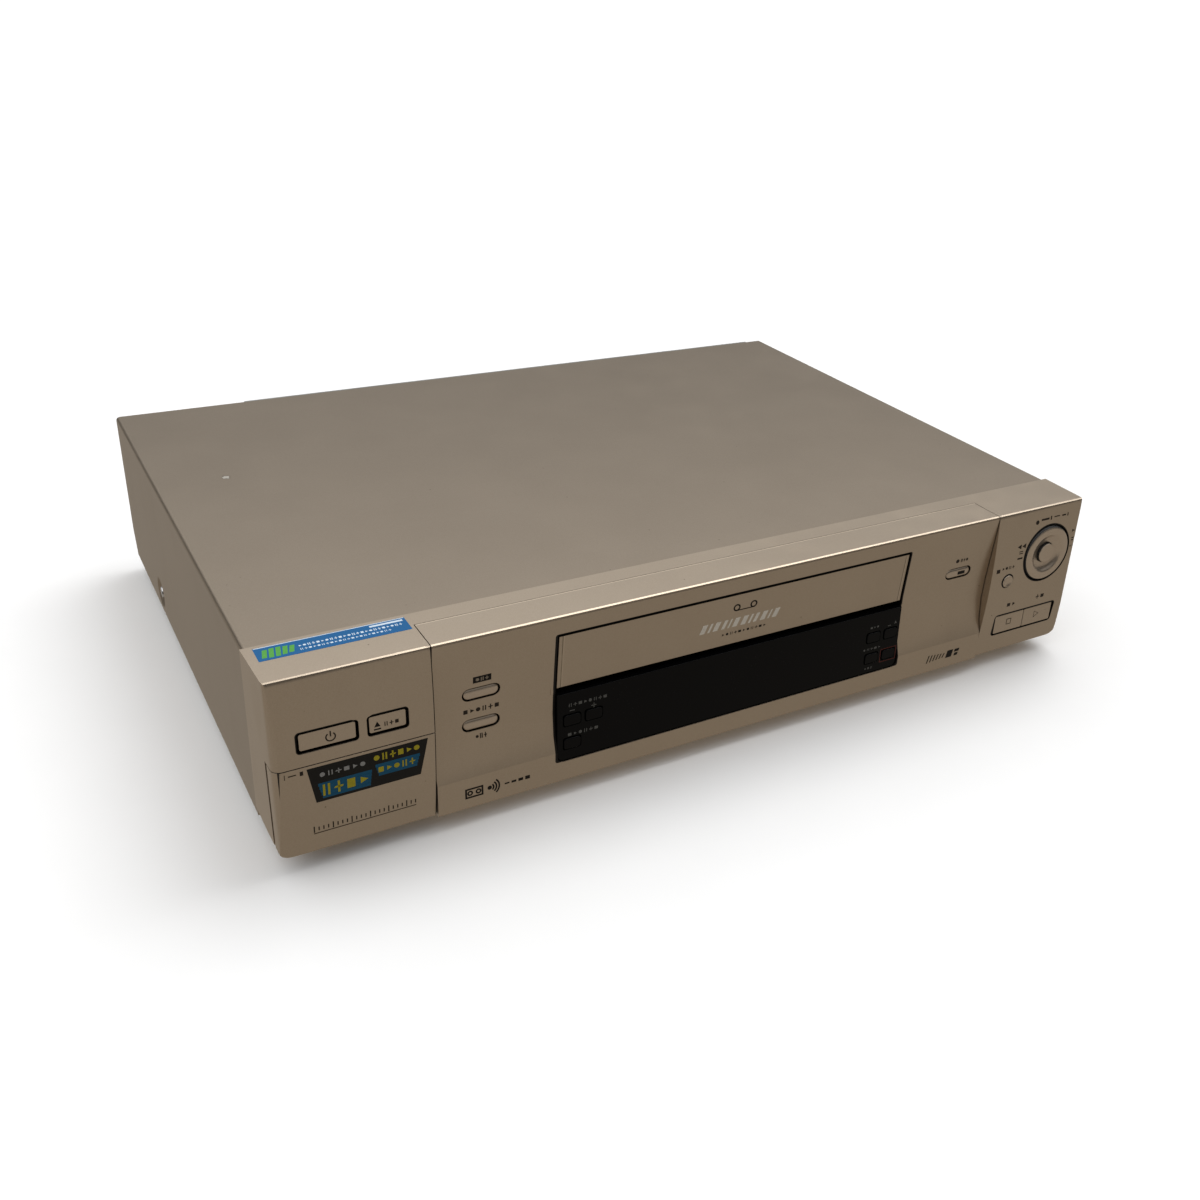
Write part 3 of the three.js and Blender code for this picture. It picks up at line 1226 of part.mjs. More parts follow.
function lowerDrum() {
  const low = -drum.rise;
  return turned([
    [0, low], [drum.pedestal, low], [drum.pedestal, 0], [drum.radius + drum.lipWidth, 0],
      [drum.radius + drum.lipWidth, drum.tape],
    [drum.radius, drum.tape + drum.lipWidth], [drum.radius, drum.lowerHeight],
      [drum.shaftRadius, drum.lowerHeight],
    [drum.shaftRadius, drum.lowerHeight + drum.upperHeight / 2],
      [0, drum.lowerHeight + drum.upperHeight / 2],
  ]);
}

function upperDrum() {
  const low = drum.lowerHeight + drum.split;
  const top = low + drum.upperHeight;
  const bore = drum.shaftRadius + drum.shaftRun;
  const boreTop = drum.lowerHeight + drum.upperHeight / 2 + drum.split;
  return turned([
    [0, boreTop], [bore, boreTop], [bore, low], [drum.radius, low], [drum.radius, top - drum.tape],
      [drum.radius - drum.tape, top],
    [drum.capRadius, top], [drum.capRadius, top + drum.cap], [drum.capRadius / 2, top + drum.cap],
      [0, top + drum.cap],
  ]);
}

function drumGroup() {
  const group = new THREE.Group();
  group.add(piece('lower_drum', cut(lowerDrum(), pedestalFoot()), finish.bright));
  group.add(piece('upper_drum', upperDrum(), finish.bright));
  group.rotation.x = THREE.MathUtils.degToRad(drum.tiltDegrees);
  group.position.set(0, drumY, drum.rise);
  return group;
}

// The slice under the deck plate that the tilted pedestal would sink into.
function pedestalFoot() {
  const wide = drum.radius * 2;
  const geometry = new THREE.BoxGeometry(wide * 2, wide * 2, wide).translate(0, 0,
    -wide / 2 + seat - drum.rise);
  const tilt = THREE.MathUtils.degToRad(drum.tiltDegrees);
  return solidOf(geometry.rotateX(-tilt));
}

function headSolid(part, rounded) {
  const feet = block(grown([0, 0], part.width / 2 + part.footSpread), grown([0, 0], part.depth / 2),
    [seat, part.foot]);
  const bodyBlock = block(grown([0, 0], part.width / 2), grown([0, 0], part.depth / 2),
    [part.foot / 2, part.height]);
  if (!rounded) return join(feet, bodyBlock);
  const noseMiddle = part.faceRadius - part.depth / 2 - part.nose;
  const nose = rod('z', [part.foot, part.height], [0, noseMiddle], part.faceRadius, part.faceRadius,
    steps.round);
  const keep = block(grown([0, 0], part.width / 2), [-part.depth, 0], [0, part.height]);
  return join(feet, bodyBlock, common(nose, keep));
}

function capstanSolid() {
  const rotorTop = -capstan.rotorDrop;
  return turned([
    [0, rotorTop - capstan.rotor], [capstan.rotorRadius, rotorTop - capstan.rotor],
      [capstan.rotorRadius, rotorTop],
    [capstan.bearing, rotorTop], [capstan.bearing, rotorTop + capstan.rotor / 2],
      [capstan.radius, rotorTop + capstan.rotor / 2],
    [capstan.radius, capstan.high], [0, capstan.high],
  ]);
}

function capstanMotorSolid() {
  const top = -capstan.rotorDrop - capstan.rotor - capstanMotor.gap;
  const low = base.plate + seat - deck.top;
  return turned([
    [0, low], [capstanMotor.radius, low], [capstanMotor.radius, top - capstanMotor.step],
    [capstanMotor.radius - capstanMotor.step, top], [0, top],
  ]);
}

const pinchToCapstan = Math.hypot(capstanX - pivotX, capstanY - pivotY);
const pinchReach = pinchToCapstan - pinch.rollerRadius - capstan.radius - seat;
const pinchEngaged = Math.atan2(capstanY - pivotY, capstanX - pivotX);
const pinchAngle = pinchEngaged + THREE.MathUtils.degToRad(pinch.swingDegrees);
const pinchRollerPlace = [
  pivotX + pinchReach * Math.cos(pinchAngle), pivotY + pinchReach * Math.sin(pinchAngle), 0,
];

// The arm lies along X from its pivot, and its group turns it to the roller.
function pinchArmSolid() {
  const low = pinch.armRise;
  const top = low + pinch.arm;
  const shape = roundedRect([-pinch.armWidth / 2, pinchReach + pinch.armWidth / 2],
    grown([0, 0], pinch.armWidth / 2), pinch.armWidth / 2 - seat);
  const boss = rod('z', [low - pinch.boss, top], [0, 0], pinch.armWidth / 2);
  const pin = rod('z', [low - seat - pinch.rollerHeight, low + pinch.arm / 2], [pinchReach, 0],
    pinch.pinRadius, pinch.pinRadius, steps.tiny);
  const bore = rod('z', [low - pinch.boss - overrun, top + overrun], [0, 0], pinch.postRadius + run);
  return cut(join(prism(shape, 'z', low, top), boss, pin), bore);
}

function pinchRollerSolid() {
  const top = pinch.armRise - seat;
  const low = top - pinch.rollerHeight;
  const bore = rod('z', [low - overrun, top + overrun], [0, 0], pinch.pinRadius + run,
    pinch.pinRadius + run, steps.tiny);
  return cut(rod('z', [low, top], [0, 0], pinch.rollerRadius, pinch.rollerRadius, steps.round), bore);
}

function loadingMotor() {
  const can = block(grown([loaderX, loaderX], loader.width / 2),
    grown([loaderY, loaderY], loader.depth / 2), [seat, loader.height]);
  const shaft = rod('x', [loaderX, loaderX + loader.width / 2 + loader.shaftLength],
    [loaderY, loader.height / 2], loader.shaftRadius, loader.shaftRadius, steps.tiny);
  const start = loaderX + loader.width / 2 + loader.shaftLength - loader.pulley;
  const pulley = rod('x', [start, start + loader.pulley], [loaderY, loader.height / 2],
    loader.pulleyRadius);
  return join(can, shaft, pulley);
}

function deckGroup() {
  const group = new THREE.Group();
  const sled = guideSled();
  group.add(piece('deck_frame', deckFrame(), finish.zinc));
  group.add(piece('rail_right', railSolid(), finish.zinc));
  group.add(piece('rail_left', mirrored(railSolid()), finish.zinc));
  group.add(piece('slider_right', sliderSolid(), finish.blackPlastic));
  group.add(piece('slider_left', mirrored(sliderSolid()), finish.blackPlastic));
  group.add(piece('cassette_carriage', carriageSolid(), finish.zinc));
  group.add(piece('supply_reel', reelSolid(), finish.blackPlastic, [-reel.spacing / 2, reelY, 0]));
  group.add(piece('takeup_reel', reelSolid(), finish.blackPlastic, [reel.spacing / 2, reelY, 0]));
  group.add(piece('guide_sled_left', sled, finish.bright, [-guide.startX, drumY + guide.startY, 0]));
  group.add(piece('guide_sled_right', sled, finish.bright, [guide.startX, drumY + guide.startY, 0]));
  group.add(drumGroup());
  group.add(piece('audio_head', headSolid(head, true), finish.bright,
    [head.xShare * deckHalf, carriageBack + head.behind, 0]));
  group.add(piece('erase_head', headSolid(eraseHead, false), finish.bright,
    [eraseHead.xShare * deckHalf, carriageBack + eraseHead.behind, 0]));
  group.add(piece('capstan', capstanSolid(), finish.bright, [capstanX, capstanY, 0]));
  group.add(piece('capstan_motor', capstanMotorSolid(), finish.zinc, [capstanX, capstanY, 0]));
  const arm = piece('pinch_arm', pinchArmSolid(), finish.zinc, [pivotX, pivotY, 0]);
  arm.rotation.z = pinchAngle;
  group.add(arm);
  group.add(piece('pinch_roller', pinchRollerSolid(), finish.rubber, pinchRollerPlace));
  group.add(piece('loading_motor', loadingMotor(), finish.zinc));
  group.position.set(slotShift, 0, deck.top);
  return group;
}

// Putting the recorder together

function casing() {
  return [
    piece('top_cover', topCover(), finish.coverPaint),
    piece('base_pan', basePan(), finish.zinc),
    piece('rear_panel', rearPanel(), finish.zinc),
    piece('front_bezel', frontBezel(), finish.frontPaint),
    piece('centre_fascia', centreFascia(), finish.frontPaint),
    piece('cassette_flap', cassetteFlap(), finish.frontPaint),
    piece('display_lens', displayLens(), finish.blackGloss),
    piece('av_door', avDoor(), finish.frontPaint),
  ];
}

function electronics() {
  return [
    piece('main_board', mainBoardSolid(), finish.circuit),
    piece('power_board', powerBoardSolid(), finish.circuit),
    piece('front_board', frontBoardSolid(), finish.circuit),
    piece('display_tube', displayTube(), finish.glass),
    piece('front_jack_block', frontJackBlock(), finish.blackPlastic),
    piece('rear_jack_block', rearJackBlock(), finish.blackPlastic),
    piece('tuner_can', tunerCan(), finish.zinc),
    piece('mains_inlet', mainsInlet(), finish.blackPlastic),
  ];
}

function feet() {
  const names = ['foot_front_left', 'foot_front_right', 'foot_rear_left', 'foot_rear_right'];
  return footPlaces().map(([x, y], i) => piece(names[i], footSolid(), finish.rubber, [x, y, 0]));
}

function recorder() {
  const group = new THREE.Group();
  group.add(...casing(), ...rectangularKeys(), ...tapeKeysPair(), ...ovalKeys(), roundKeyPiece(),
    ...lensKeyPieces());
  group.add(dialGroup(), ...screws(), ...feet(), ...electronics(), deckGroup());
  const frontmost = dialFace - dial.proud;
  const rearmost = stepInner - seat + rear.plate + seat + tuner.barrelLength;
  group.position.set(0, -(frontmost + rearmost) / 2, foot.height);
  return group;
}

export default recorder();
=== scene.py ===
"""Looks of a front-loading video cassette recorder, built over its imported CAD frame.

Everything is in metres in the frame's own axes: X to the right seen from the front, Y to the back,
Z up. Each sub-assembly is a class that dresses its CAD nodes and adds what only the eye needs.
"""

import json
import logging
import math
from dataclasses import dataclass, field
from enum import Enum
from typing import Sequence, Union

import bmesh
import bpy
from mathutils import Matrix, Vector
from mathutils.bvhtree import BVHTree

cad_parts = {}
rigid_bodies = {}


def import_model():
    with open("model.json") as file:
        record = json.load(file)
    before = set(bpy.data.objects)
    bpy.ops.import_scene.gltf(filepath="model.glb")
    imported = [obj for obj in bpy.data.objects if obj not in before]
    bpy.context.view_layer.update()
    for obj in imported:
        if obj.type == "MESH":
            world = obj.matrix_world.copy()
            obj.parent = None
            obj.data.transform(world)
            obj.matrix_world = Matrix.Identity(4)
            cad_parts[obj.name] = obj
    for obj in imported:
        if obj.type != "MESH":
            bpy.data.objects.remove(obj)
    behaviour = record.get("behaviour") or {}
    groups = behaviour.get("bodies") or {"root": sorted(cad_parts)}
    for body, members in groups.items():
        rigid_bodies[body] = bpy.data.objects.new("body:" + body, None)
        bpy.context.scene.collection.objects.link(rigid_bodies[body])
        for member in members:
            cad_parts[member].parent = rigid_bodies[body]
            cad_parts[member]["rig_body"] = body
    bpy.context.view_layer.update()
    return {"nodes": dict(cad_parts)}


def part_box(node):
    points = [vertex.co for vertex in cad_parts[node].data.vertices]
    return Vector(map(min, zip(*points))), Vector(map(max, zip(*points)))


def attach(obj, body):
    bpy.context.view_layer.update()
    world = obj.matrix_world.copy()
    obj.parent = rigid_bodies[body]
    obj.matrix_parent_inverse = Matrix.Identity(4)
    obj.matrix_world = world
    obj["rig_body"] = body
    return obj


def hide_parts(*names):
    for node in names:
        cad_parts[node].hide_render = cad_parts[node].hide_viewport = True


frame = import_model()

log = logging.getLogger("recorder")

MM = 0.001

# The front's two curved faces, written as in the CAD, in millimetres
TOP = 92.0
FRONT_REACH = 159.28
PANEL_HEIGHT = 83.0
PANEL_LEAN = 1.8
PANEL_BULGE = 9.6
HOLLOW_HEIGHT = 67.8
HOLLOW_DEPTH = 6.66
HOLLOW_TOP_POWER = 1.2
HOLLOW_END_POWER = 4

Colour = tuple[float, float, float]
Point = tuple[float, float]
Outline = list[Point]
Shapes = tuple[Outline, ...]
Shares = tuple[int, int, int]


def tone(red: int, green: int, blue: int) -> Colour:
    """Turns a colour written from 0 to 255, as seen on a screen, into linear light.

    Args:
        red: Red share, 0 to 255.
        green: Green share, 0 to 255.
        blue: Blue share, 0 to 255.

    Returns:
        The colour in linear light.
    """

    def linear(share: int) -> float:
        """Linear light of one share."""
        level = share / 255
        return level / 12.92 if level <= 0.04045 else ((level + 0.055) / 1.055) ** 2.4

    return (linear(red), linear(green), linear(blue))


WHITE: Colour = (1.0, 1.0, 1.0)
BLACK: Colour = (0.0, 0.0, 0.0)


# Shader maths


class Reading:
    """A number that varies over a surface: one socket, on which Python sums add Math nodes."""

    def __init__(self, sheet: "Sheet", socket: bpy.types.NodeSocket) -> None:
        """Wraps one socket of a sheet.

        Args:
            sheet: The sheet that the socket is on.
            socket: The socket that gives the number.
        """
        self.sheet = sheet
        self.socket = socket

    def _sum(self, operation: str, *terms: "Amount") -> "Reading":
        """Adds one Math node and returns its result."""
        node = self.sheet.node("ShaderNodeMath", {"operation": operation}, dict(enumerate(terms)))
        return Reading(self.sheet, node.outputs[0])

    def __add__(self, other: "Amount") -> "Reading":
        """This number plus another."""
        return self._sum("ADD", self, other)

    __radd__ = __add__

    def __sub__(self, other: "Amount") -> "Reading":
        """This number less another."""
        return self._sum("SUBTRACT", self, other)

    def __rsub__(self, other: "Amount") -> "Reading":
        """Another number less this one."""
        return self._sum("SUBTRACT", other, self)

    def __mul__(self, other: "Amount") -> "Reading":
        """This number times another."""
        return self._sum("MULTIPLY", self, other)

    __rmul__ = __mul__

    def __truediv__(self, other: "Amount") -> "Reading":
        """This number over another."""
        return self._sum("DIVIDE", self, other)

    def __rtruediv__(self, other: "Amount") -> "Reading":
        """Another number over this one."""
        return self._sum("DIVIDE", other, self)

    def __pow__(self, power: "Amount") -> "Reading":
        """This number to a power."""
        return self._sum("POWER", self, power)

    def __abs__(self) -> "Reading":
        """This number without its sign."""
        return self._sum("ABSOLUTE", self)

    def remainder(self, step: "Amount") -> "Reading":
        """What is left of this number after whole steps, never below zero."""
        return self._sum("FLOORED_MODULO", self, step)

    def least(self, other: "Amount") -> "Reading":
        """The smaller of this number and another."""
        return self._sum("MINIMUM", self, other)

    def most(self, other: "Amount") -> "Reading":
        """The larger of this number and another."""
        return self._sum("MAXIMUM", self, other)

    def rise(self, low: float, high: float, start: float = 0.0, end: float = 1.0) -> "Reading":
        """Goes smoothly from a start to an end, as this number goes from low to high.

        Args:
            low: Where it still gives the start.
            high: Where it gives the end. It may lie below low, and then the step falls.
            start: The result at low and before it.
            end: The result at high and beyond it.

        Returns:
            The smooth step.
        """
        limits = {"From Min": low, "From Max": high, "To Min": start, "To Max": end}
        node = self.sheet.node(
            "ShaderNodeMapRange", {"interpolation_type": "SMOOTHSTEP"}, {"Value": self, **limits}
        )
        return Reading(self.sheet, node.outputs["Result"])


Amount = Union[Reading, float, int]


@dataclass(frozen=True)
class Place:
    """Where a point of the surface lies in the recorder, in millimetres at rest."""

    x: Reading
    y: Reading
    z: Reading

    def distance(self, x: float, y: float, z: float) -> Reading:
        """Distance of the point from another.

        Args:
            x: The other point's x.
            y: The other point's y.
            z: The other point's z.

        Returns:
            The distance in millimetres.
        """
        return ((self.x - x) ** 2 + (self.y - y) ** 2 + (self.z - z) ** 2) ** 0.5


class Sheet:
    """One node tree, and the few ways in which the finishes, the floor and the sky add to it."""

    def __init__(self, tree: bpy.types.NodeTree, shader: str = "Principled BSDF") -> None:
        """Starts on a tree.

        Args:
            tree: The tree.
            shader: The name of the shader that it already has. A tree without one gives none.
        """
        self.tree = tree
        self.shader = tree.nodes.get(shader)

    def node(self, kind: str, settings: dict, inputs: dict) -> bpy.types.Node:
        """Adds one node.

        Args:
            kind: Blender's name for the type of node.
            settings: The node's own settings, set first.
            inputs: A number, colour, reading or socket for each input, by name or place.

        Returns:
            The new node.
        """
        node = self.tree.nodes.new(kind)
        for name, setting in settings.items():
            setattr(node, name, setting)
        for place, given in inputs.items():
            self.feed(node.inputs[place], given)
        return node

    def feed(self, socket: bpy.types.NodeSocket, given: object) -> None:
        """Links or sets one socket.

        Args:
            socket: The socket to feed.
            given: A reading, a socket, a number or a colour.
        """
        if isinstance(given, Reading):
            self.tree.links.new(given.socket, socket)
        elif isinstance(given, bpy.types.NodeSocket):
            self.tree.links.new(given, socket)
        elif isinstance(given, tuple) and socket.type == "RGBA":
            socket.default_value = (*given, 1.0)
        else:
            socket.default_value = given

    def place(self) -> Place:
        """Where the shaded point lies, in millimetres.

        Returns:
            The place at rest, which moves with the piece.
        """
        spot = self.node("ShaderNodeTexCoord", {}, {})
        parts = self.node("ShaderNodeSeparateXYZ", {}, {0: spot.outputs["Object"]})
        x, y, z = (Reading(self, out) * (1 / MM) for out in parts.outputs)
        return Place(x, y, z)

    def stretched(self, x: float, y: float, z: float) -> bpy.types.NodeSocket:
        """The surface's coordinates, stretched for patterns that run one way.

        Args:
            x: Factor along x.
            y: Factor along y.
            z: Factor along z.

        Returns:
            A vector socket.
        """
        inputs = {0: self.node("ShaderNodeTexCoord", {}, {}).outputs["Object"], 1: (x, y, z)}
        return self.node("ShaderNodeVectorMath", {"operation": "MULTIPLY"}, inputs).outputs[0]

    def cloud(self, size: float, detail: float, run: tuple[float, ...] = (1.0, 1.0, 1.0)) -> Reading:
        """Soft noise around 0.5.

        Args:
            size: Width of one cloud in millimetres.
            detail: How many finer clouds lie in it.
            run: Factors that squeeze it along x, y and z.

        Returns:
            The noise, 0 to 1.
        """
        inputs = {"Vector": self.stretched(*run), "Scale": 1 / (size * MM), "Detail": detail}
        return Reading(self, self.node("ShaderNodeTexNoise", {}, inputs).outputs["Fac"])

    def _cells(self, size: float) -> bpy.types.Node:
        """Voronoi cells of a width in millimetres."""
        inputs = {"Vector": self.stretched(1.0, 1.0, 1.0), "Scale": 1 / (size * MM)}
        return self.node("ShaderNodeTexVoronoi", {}, inputs)

    def dots(self, size: float) -> Reading:
        """Distance from the middle of the nearest cell, for specks and dots."""
        return Reading(self, self._cells(size).outputs["Distance"])

    def grains(self, size: float, channel: int = 0) -> Reading:
        """A number of its own for every cell, for flakes and grains.

        Args:
            size: Width of one cell in millimetres.
            channel: Which of the three colour channels of the cells is read.

        Returns:
            The number, 0 to 1.
        """
        parts = self.node("ShaderNodeSeparateColor", {}, {0: self._cells(size).outputs["Color"]})
        return Reading(self, parts.outputs[channel])

    def mix(self, factor: Amount, first: object, second: object) -> bpy.types.NodeSocket:
        """Mixes two colours.

        Args:
            factor: 0 gives the first, 1 the second.
            first: A colour or a colour socket.
            second: A colour or a colour socket.

        Returns:
            The mixed colour's socket.
        """
        node = self.node("ShaderNodeMix", {"data_type": "RGBA"}, {0: factor, 6: first, 7: second})
        return node.outputs[2]

    def bump(self, height: Amount, depth: float, strength: float) -> None:
        """Gives the surface its relief.

        Args:
            height: The relief, 0 to 1.
            depth: How high 1 stands, in millimetres.
            strength: How much of it shows.
        """
        inputs = {"Height": height, "Distance": depth * MM, "Strength": strength}
        self.finish(normal=self.node("ShaderNodeBump", {}, inputs).outputs["Normal"])

    def finish(self, **inputs: object) -> None:
        """Feeds the tree's shader.

        Args:
            **inputs: Its sockets, in small letters and with underscores for spaces.
        """
        for name, given in inputs.items():
            spoken = name.replace("_", " ").title().replace("Ior", "IOR")
            self.feed(self.shader.inputs[spoken], given)


def box_of(node: str) -> tuple[Vector, Vector]:
    """A CAD node's lowest and highest corners at rest, in millimetres."""
    low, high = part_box(node)
    return Vector(low) / MM, Vector(high) / MM


# Finishes


class Face(Enum):
    """The two curved front faces. Each knows how deep a point lies behind it."""

    PANEL = "panel"
    FASCIA = "fascia"

    def depth(self, place: Place) -> Reading:
        """How far a point lies behind this face.

        Args:
            place: The point.

        Returns:
            The depth in millimetres.
        """
        behind = place.y + FRONT_REACH
        if self is Face.PANEL:
            down = (TOP - place.z) / PANEL_HEIGHT
            return behind - PANEL_LEAN * down + PANEL_BULGE * down * (1 - down)
        down = ((TOP - place.z) / HOLLOW_HEIGHT).most(0.001).least(1.0)
        return behind - (down**HOLLOW_TOP_POWER) * (1 - down**HOLLOW_END_POWER) * HOLLOW_DEPTH


@dataclass(frozen=True)
class Finish:
    """What every finish has: its own name, and the record's slot that it stands for."""

    name: str
    slot: str

    def material(self) -> bpy.types.Material:
        """The finish as a material, made the first time that it is asked for.

        Returns:
            The material.
        """
        known = bpy.data.materials.get(self.name)
        if known:
            return known
        material = bpy.data.materials.new(self.name)
        material.use_nodes = True
        self.paint(Sheet(material.node_tree))
        return material

    def paint(self, sheet: Sheet) -> None:
        """Builds the finish's nodes on a sheet."""
        raise NotImplementedError(self.name)


@dataclass(frozen=True)
class Lacquer(Finish):
    """Champagne lacquer with fine metal flake, handled for years: smudges, dust and small specks."""

    light: Colour = tone(184, 170, 152)
    dark: Colour = tone(176, 161, 143)
    # The dirt colour serves both the specks and the painted shade in mould lines
    dirt_and_shade: Colour = tone(74, 66, 56)
    # The near-black colour that stands in for shade: painted shade in gaps and wells
    moulding: Colour = tone(13, 10, 8)
    metallic: float = 0.88
    roughness: float = 0.33
    smudge: float = 0.045
    smudge_size: float = 17
    cloud_size: float = 38
    flake_size: float = 0.22
    peel_size: float = 1.1
    peel_height: float = 0.012
    speck_pitch: float = 9
    speck_strength: float = 0.6
    # Specular of a lacquer that carries painted shade, and the roughness added where the shade lies
    shaded_lacquer_specular: float = 0.2
    shade_rougher: float = 0.15

    def paint(self, sheet: Sheet) -> None:
        """Builds the lacquer's nodes.

        Args:
            sheet: The sheet to build on.
        """
        sparkle = sheet.grains(self.flake_size)
        clouds = sheet.cloud(self.cloud_size, 3)
        smudges = sheet.cloud(self.smudge_size, 4, (1.0, 1.0, 0.4)).rise(0.45, 0.75)
        colour = sheet.mix((clouds * 0.5 + sparkle * 0.5).rise(0.15, 0.85), self.dark, self.light)
        colour = sheet.mix(self.specks(sheet) * self.speck_strength, colour, self.dirt_and_shade)
        colour = self.wear_and_sheen(sheet, colour)
        peel = sheet.cloud(self.peel_size, 1)
        sheet.bump(peel * 0.6 + sparkle * 0.4, self.peel_height, 0.5)
        roughness = smudges * self.smudge + clouds * 0.02 + (self.roughness - 0.03)
        # Painted shade: gaps and wells go near black, less metallic and rougher
        shade_mask = self.painted_shade(sheet)
        if shade_mask is None:
            sheet.finish(base_color=colour, metallic=self.metallic, roughness=roughness)
            return
        sheet.finish(
            specular_ior_level=self.shaded_lacquer_specular,
            base_color=sheet.mix(shade_mask, colour, self.moulding),
            metallic=(1 - shade_mask) * self.metallic,
            roughness=roughness + shade_mask * self.shade_rougher,
        )

    def painted_shade(self, sheet: Sheet) -> Reading | None:
        """Painted shade, near black, such as inside a key's well. Plain lacquer has none."""
        return None

    def specks(self, sheet: Sheet) -> Reading:
        """Small dark specks, few and far between.

        Args:
            sheet: The sheet to build on.

        Returns:
            1 on a speck.
        """
        few = sheet.cloud(23, 0).rise(0.5, 0.62)
        return sheet.dots(self.speck_pitch).rise(0.05, 0.025) * few

    def wear_and_sheen(self, sheet: Sheet, colour: bpy.types.NodeSocket) -> bpy.types.NodeSocket:
        """Wear and painted sheen of this finish. Plain lacquer has none of its own."""
        return colour


@dataclass(frozen=True)
class Hole:
    """A hole through a face, with a rim of painted shade round it. All sizes are in millimetres."""

    x: float
    z: float
    half_width: float
    half_height: float
    radius: float
    rim: float
    aside: float = 0.2
    blur: float = 0.12

    def shade_mask(self, place: Place) -> Reading:
        """Where the rim of painted shade is, wider at the left and over the hole.

        Args:
            place: The point.

        Returns:
            1 on the rim and within the hole.
        """
        across = (abs(place.x - (self.x - self.aside)) - (self.half_width - self.radius)).most(0.0)
        up = (abs(place.z - (self.z + self.aside)) - (self.half_height - self.radius)).most(0.0)
        off = (across * across + up * up) ** 0.5 - self.radius
        return off.rise(self.rim + self.blur, self.rim - self.blur)


@dataclass(frozen=True)
class MouldedLacquer(Lacquer):
    """The lacquer on a moulding, with painted shade: places deeper behind the face than the reach go near
    black.
    """

    face: Face = Face.PANEL
    # How far behind the face the lacquer keeps its colour before the painted shade starts
    reach: float = 0.28
    spans: tuple[Point, ...] = ((-211.0, -152.0), (158.0, 211.0))
    low: float = 11.0
    high: float = 89.0
    side_blur: float = 0.2
    level_blur: float = 0.3
    holes: tuple[Hole, ...] = ()
    # Upright mould lines, each with a line of painted shade and a painted highlight beside it
    grooves: tuple[float, ...] = ()
    groove_width: float = 0.34
    groove_blur: float = 0.18
    groove_aside: float = 0.55
    groove_shade: float = 0.55
    groove_highlight: float = 0.5
    groove_highlight_colour: Colour = tone(206, 192, 172)
    # Where a painted highlight runs along the top seam
    seam: float | None = None
    seam_highlight: float = 0.75
    seam_highlight_colour: Colour = tone(232, 216, 194)

    def painted_shade(self, sheet: Sheet) -> Reading | None:
        """Painted shade: deeper behind the face than the reach, inside the spans, and on the holes' rims.

        Args:
            sheet: The sheet to build on.

        Returns:
            1 where the painted shade is.
        """
        place = sheet.place()
        across = [
            place.x.rise(low, low + self.side_blur) * place.x.rise(high, high - self.side_blur)
            for low, high in self.spans
        ]
        inside = across[0] if len(across) == 1 else across[0].most(across[1])
        deep = self.face.depth(place).rise(self.reach, self.reach + self.side_blur)
        over = place.z.rise(self.low, self.low + self.level_blur)
        under = place.z.rise(self.high, self.high - self.level_blur)
        shade_mask = deep * inside * over * under
        for hole in self.holes:
            shade_mask = shade_mask.most(hole.shade_mask(place))
        return shade_mask

    def wear_and_sheen(self, sheet: Sheet, colour: bpy.types.NodeSocket) -> bpy.types.NodeSocket:
        """Painted shade and highlight along mould lines and a painted highlight on the top seam, where set.

        Args:
            sheet: The sheet to build on.
            colour: The colour so far.

        Returns:
            The colour with the lines.
        """
        place = sheet.place()
        clear = self.groove_width - self.groove_blur
        for x in self.grooves:
            broken = sheet.cloud(14, 2).rise(0.25, 0.5)
            # A dark line of painted shade in the groove, and a pale painted highlight just right of it
            dark, pale = (
                abs(place.x - x - aside).rise(self.groove_width, clear) * broken
                for aside in (0.0, self.groove_aside)
            )
            colour = sheet.mix(dark * self.groove_shade, colour, self.dirt_and_shade)
            colour = sheet.mix(pale * self.groove_highlight, colour, self.groove_highlight_colour)
        # A pale painted highlight along the top seam
        if self.seam:
            line = abs(place.y - self.seam).rise(0.42, 0.2) * place.z.rise(TOP - 1.0, TOP - 0.4)
            colour = sheet.mix(line * self.seam_highlight, colour, self.seam_highlight_colour)
        return colour


@dataclass(frozen=True)
class KeyLacquer(Lacquer):
    """The lacquer on a barrel key: its face and its edge keep their colour, its sides get painted shade."""

    light: Colour = tone(196, 182, 165)
    dark: Colour = tone(188, 173, 156)
    front: float = 0.0
    # How far behind the front the painted shade starts
    reach: float = 1.1

    def painted_shade(self, sheet: Sheet) -> Reading | None:
        """Further back than the reach, where the painted shade starts.

        Args:
            sheet: The sheet to build on.

        Returns:
            1 where the key's side carries painted shade.
        """
        shade_start = self.front + self.reach
        return sheet.place().y.rise(shade_start, shade_start + 0.15)


def hole_round(first: str, last: str, gap: float, radius: float, rim: float) -> Hole:
    """The hole that holds one node, or a row of them.

    Args:
        first: The node at the left.
        last: The node at the right, or the same one.
        gap: The gap round them. It is below zero round keys whose flanges hide behind the face.
        radius: The radius of the hole's corners.
        rim: Width of the rim of painted shade.

    Returns:
        The hole.
    """
    low, high = box_of(first)[0], box_of(last)[1]
    middle, half = (low + high) / 2, (high - low) / 2
    return Hole(middle.x, middle.z, half.x + gap, half.z + gap, radius, rim)


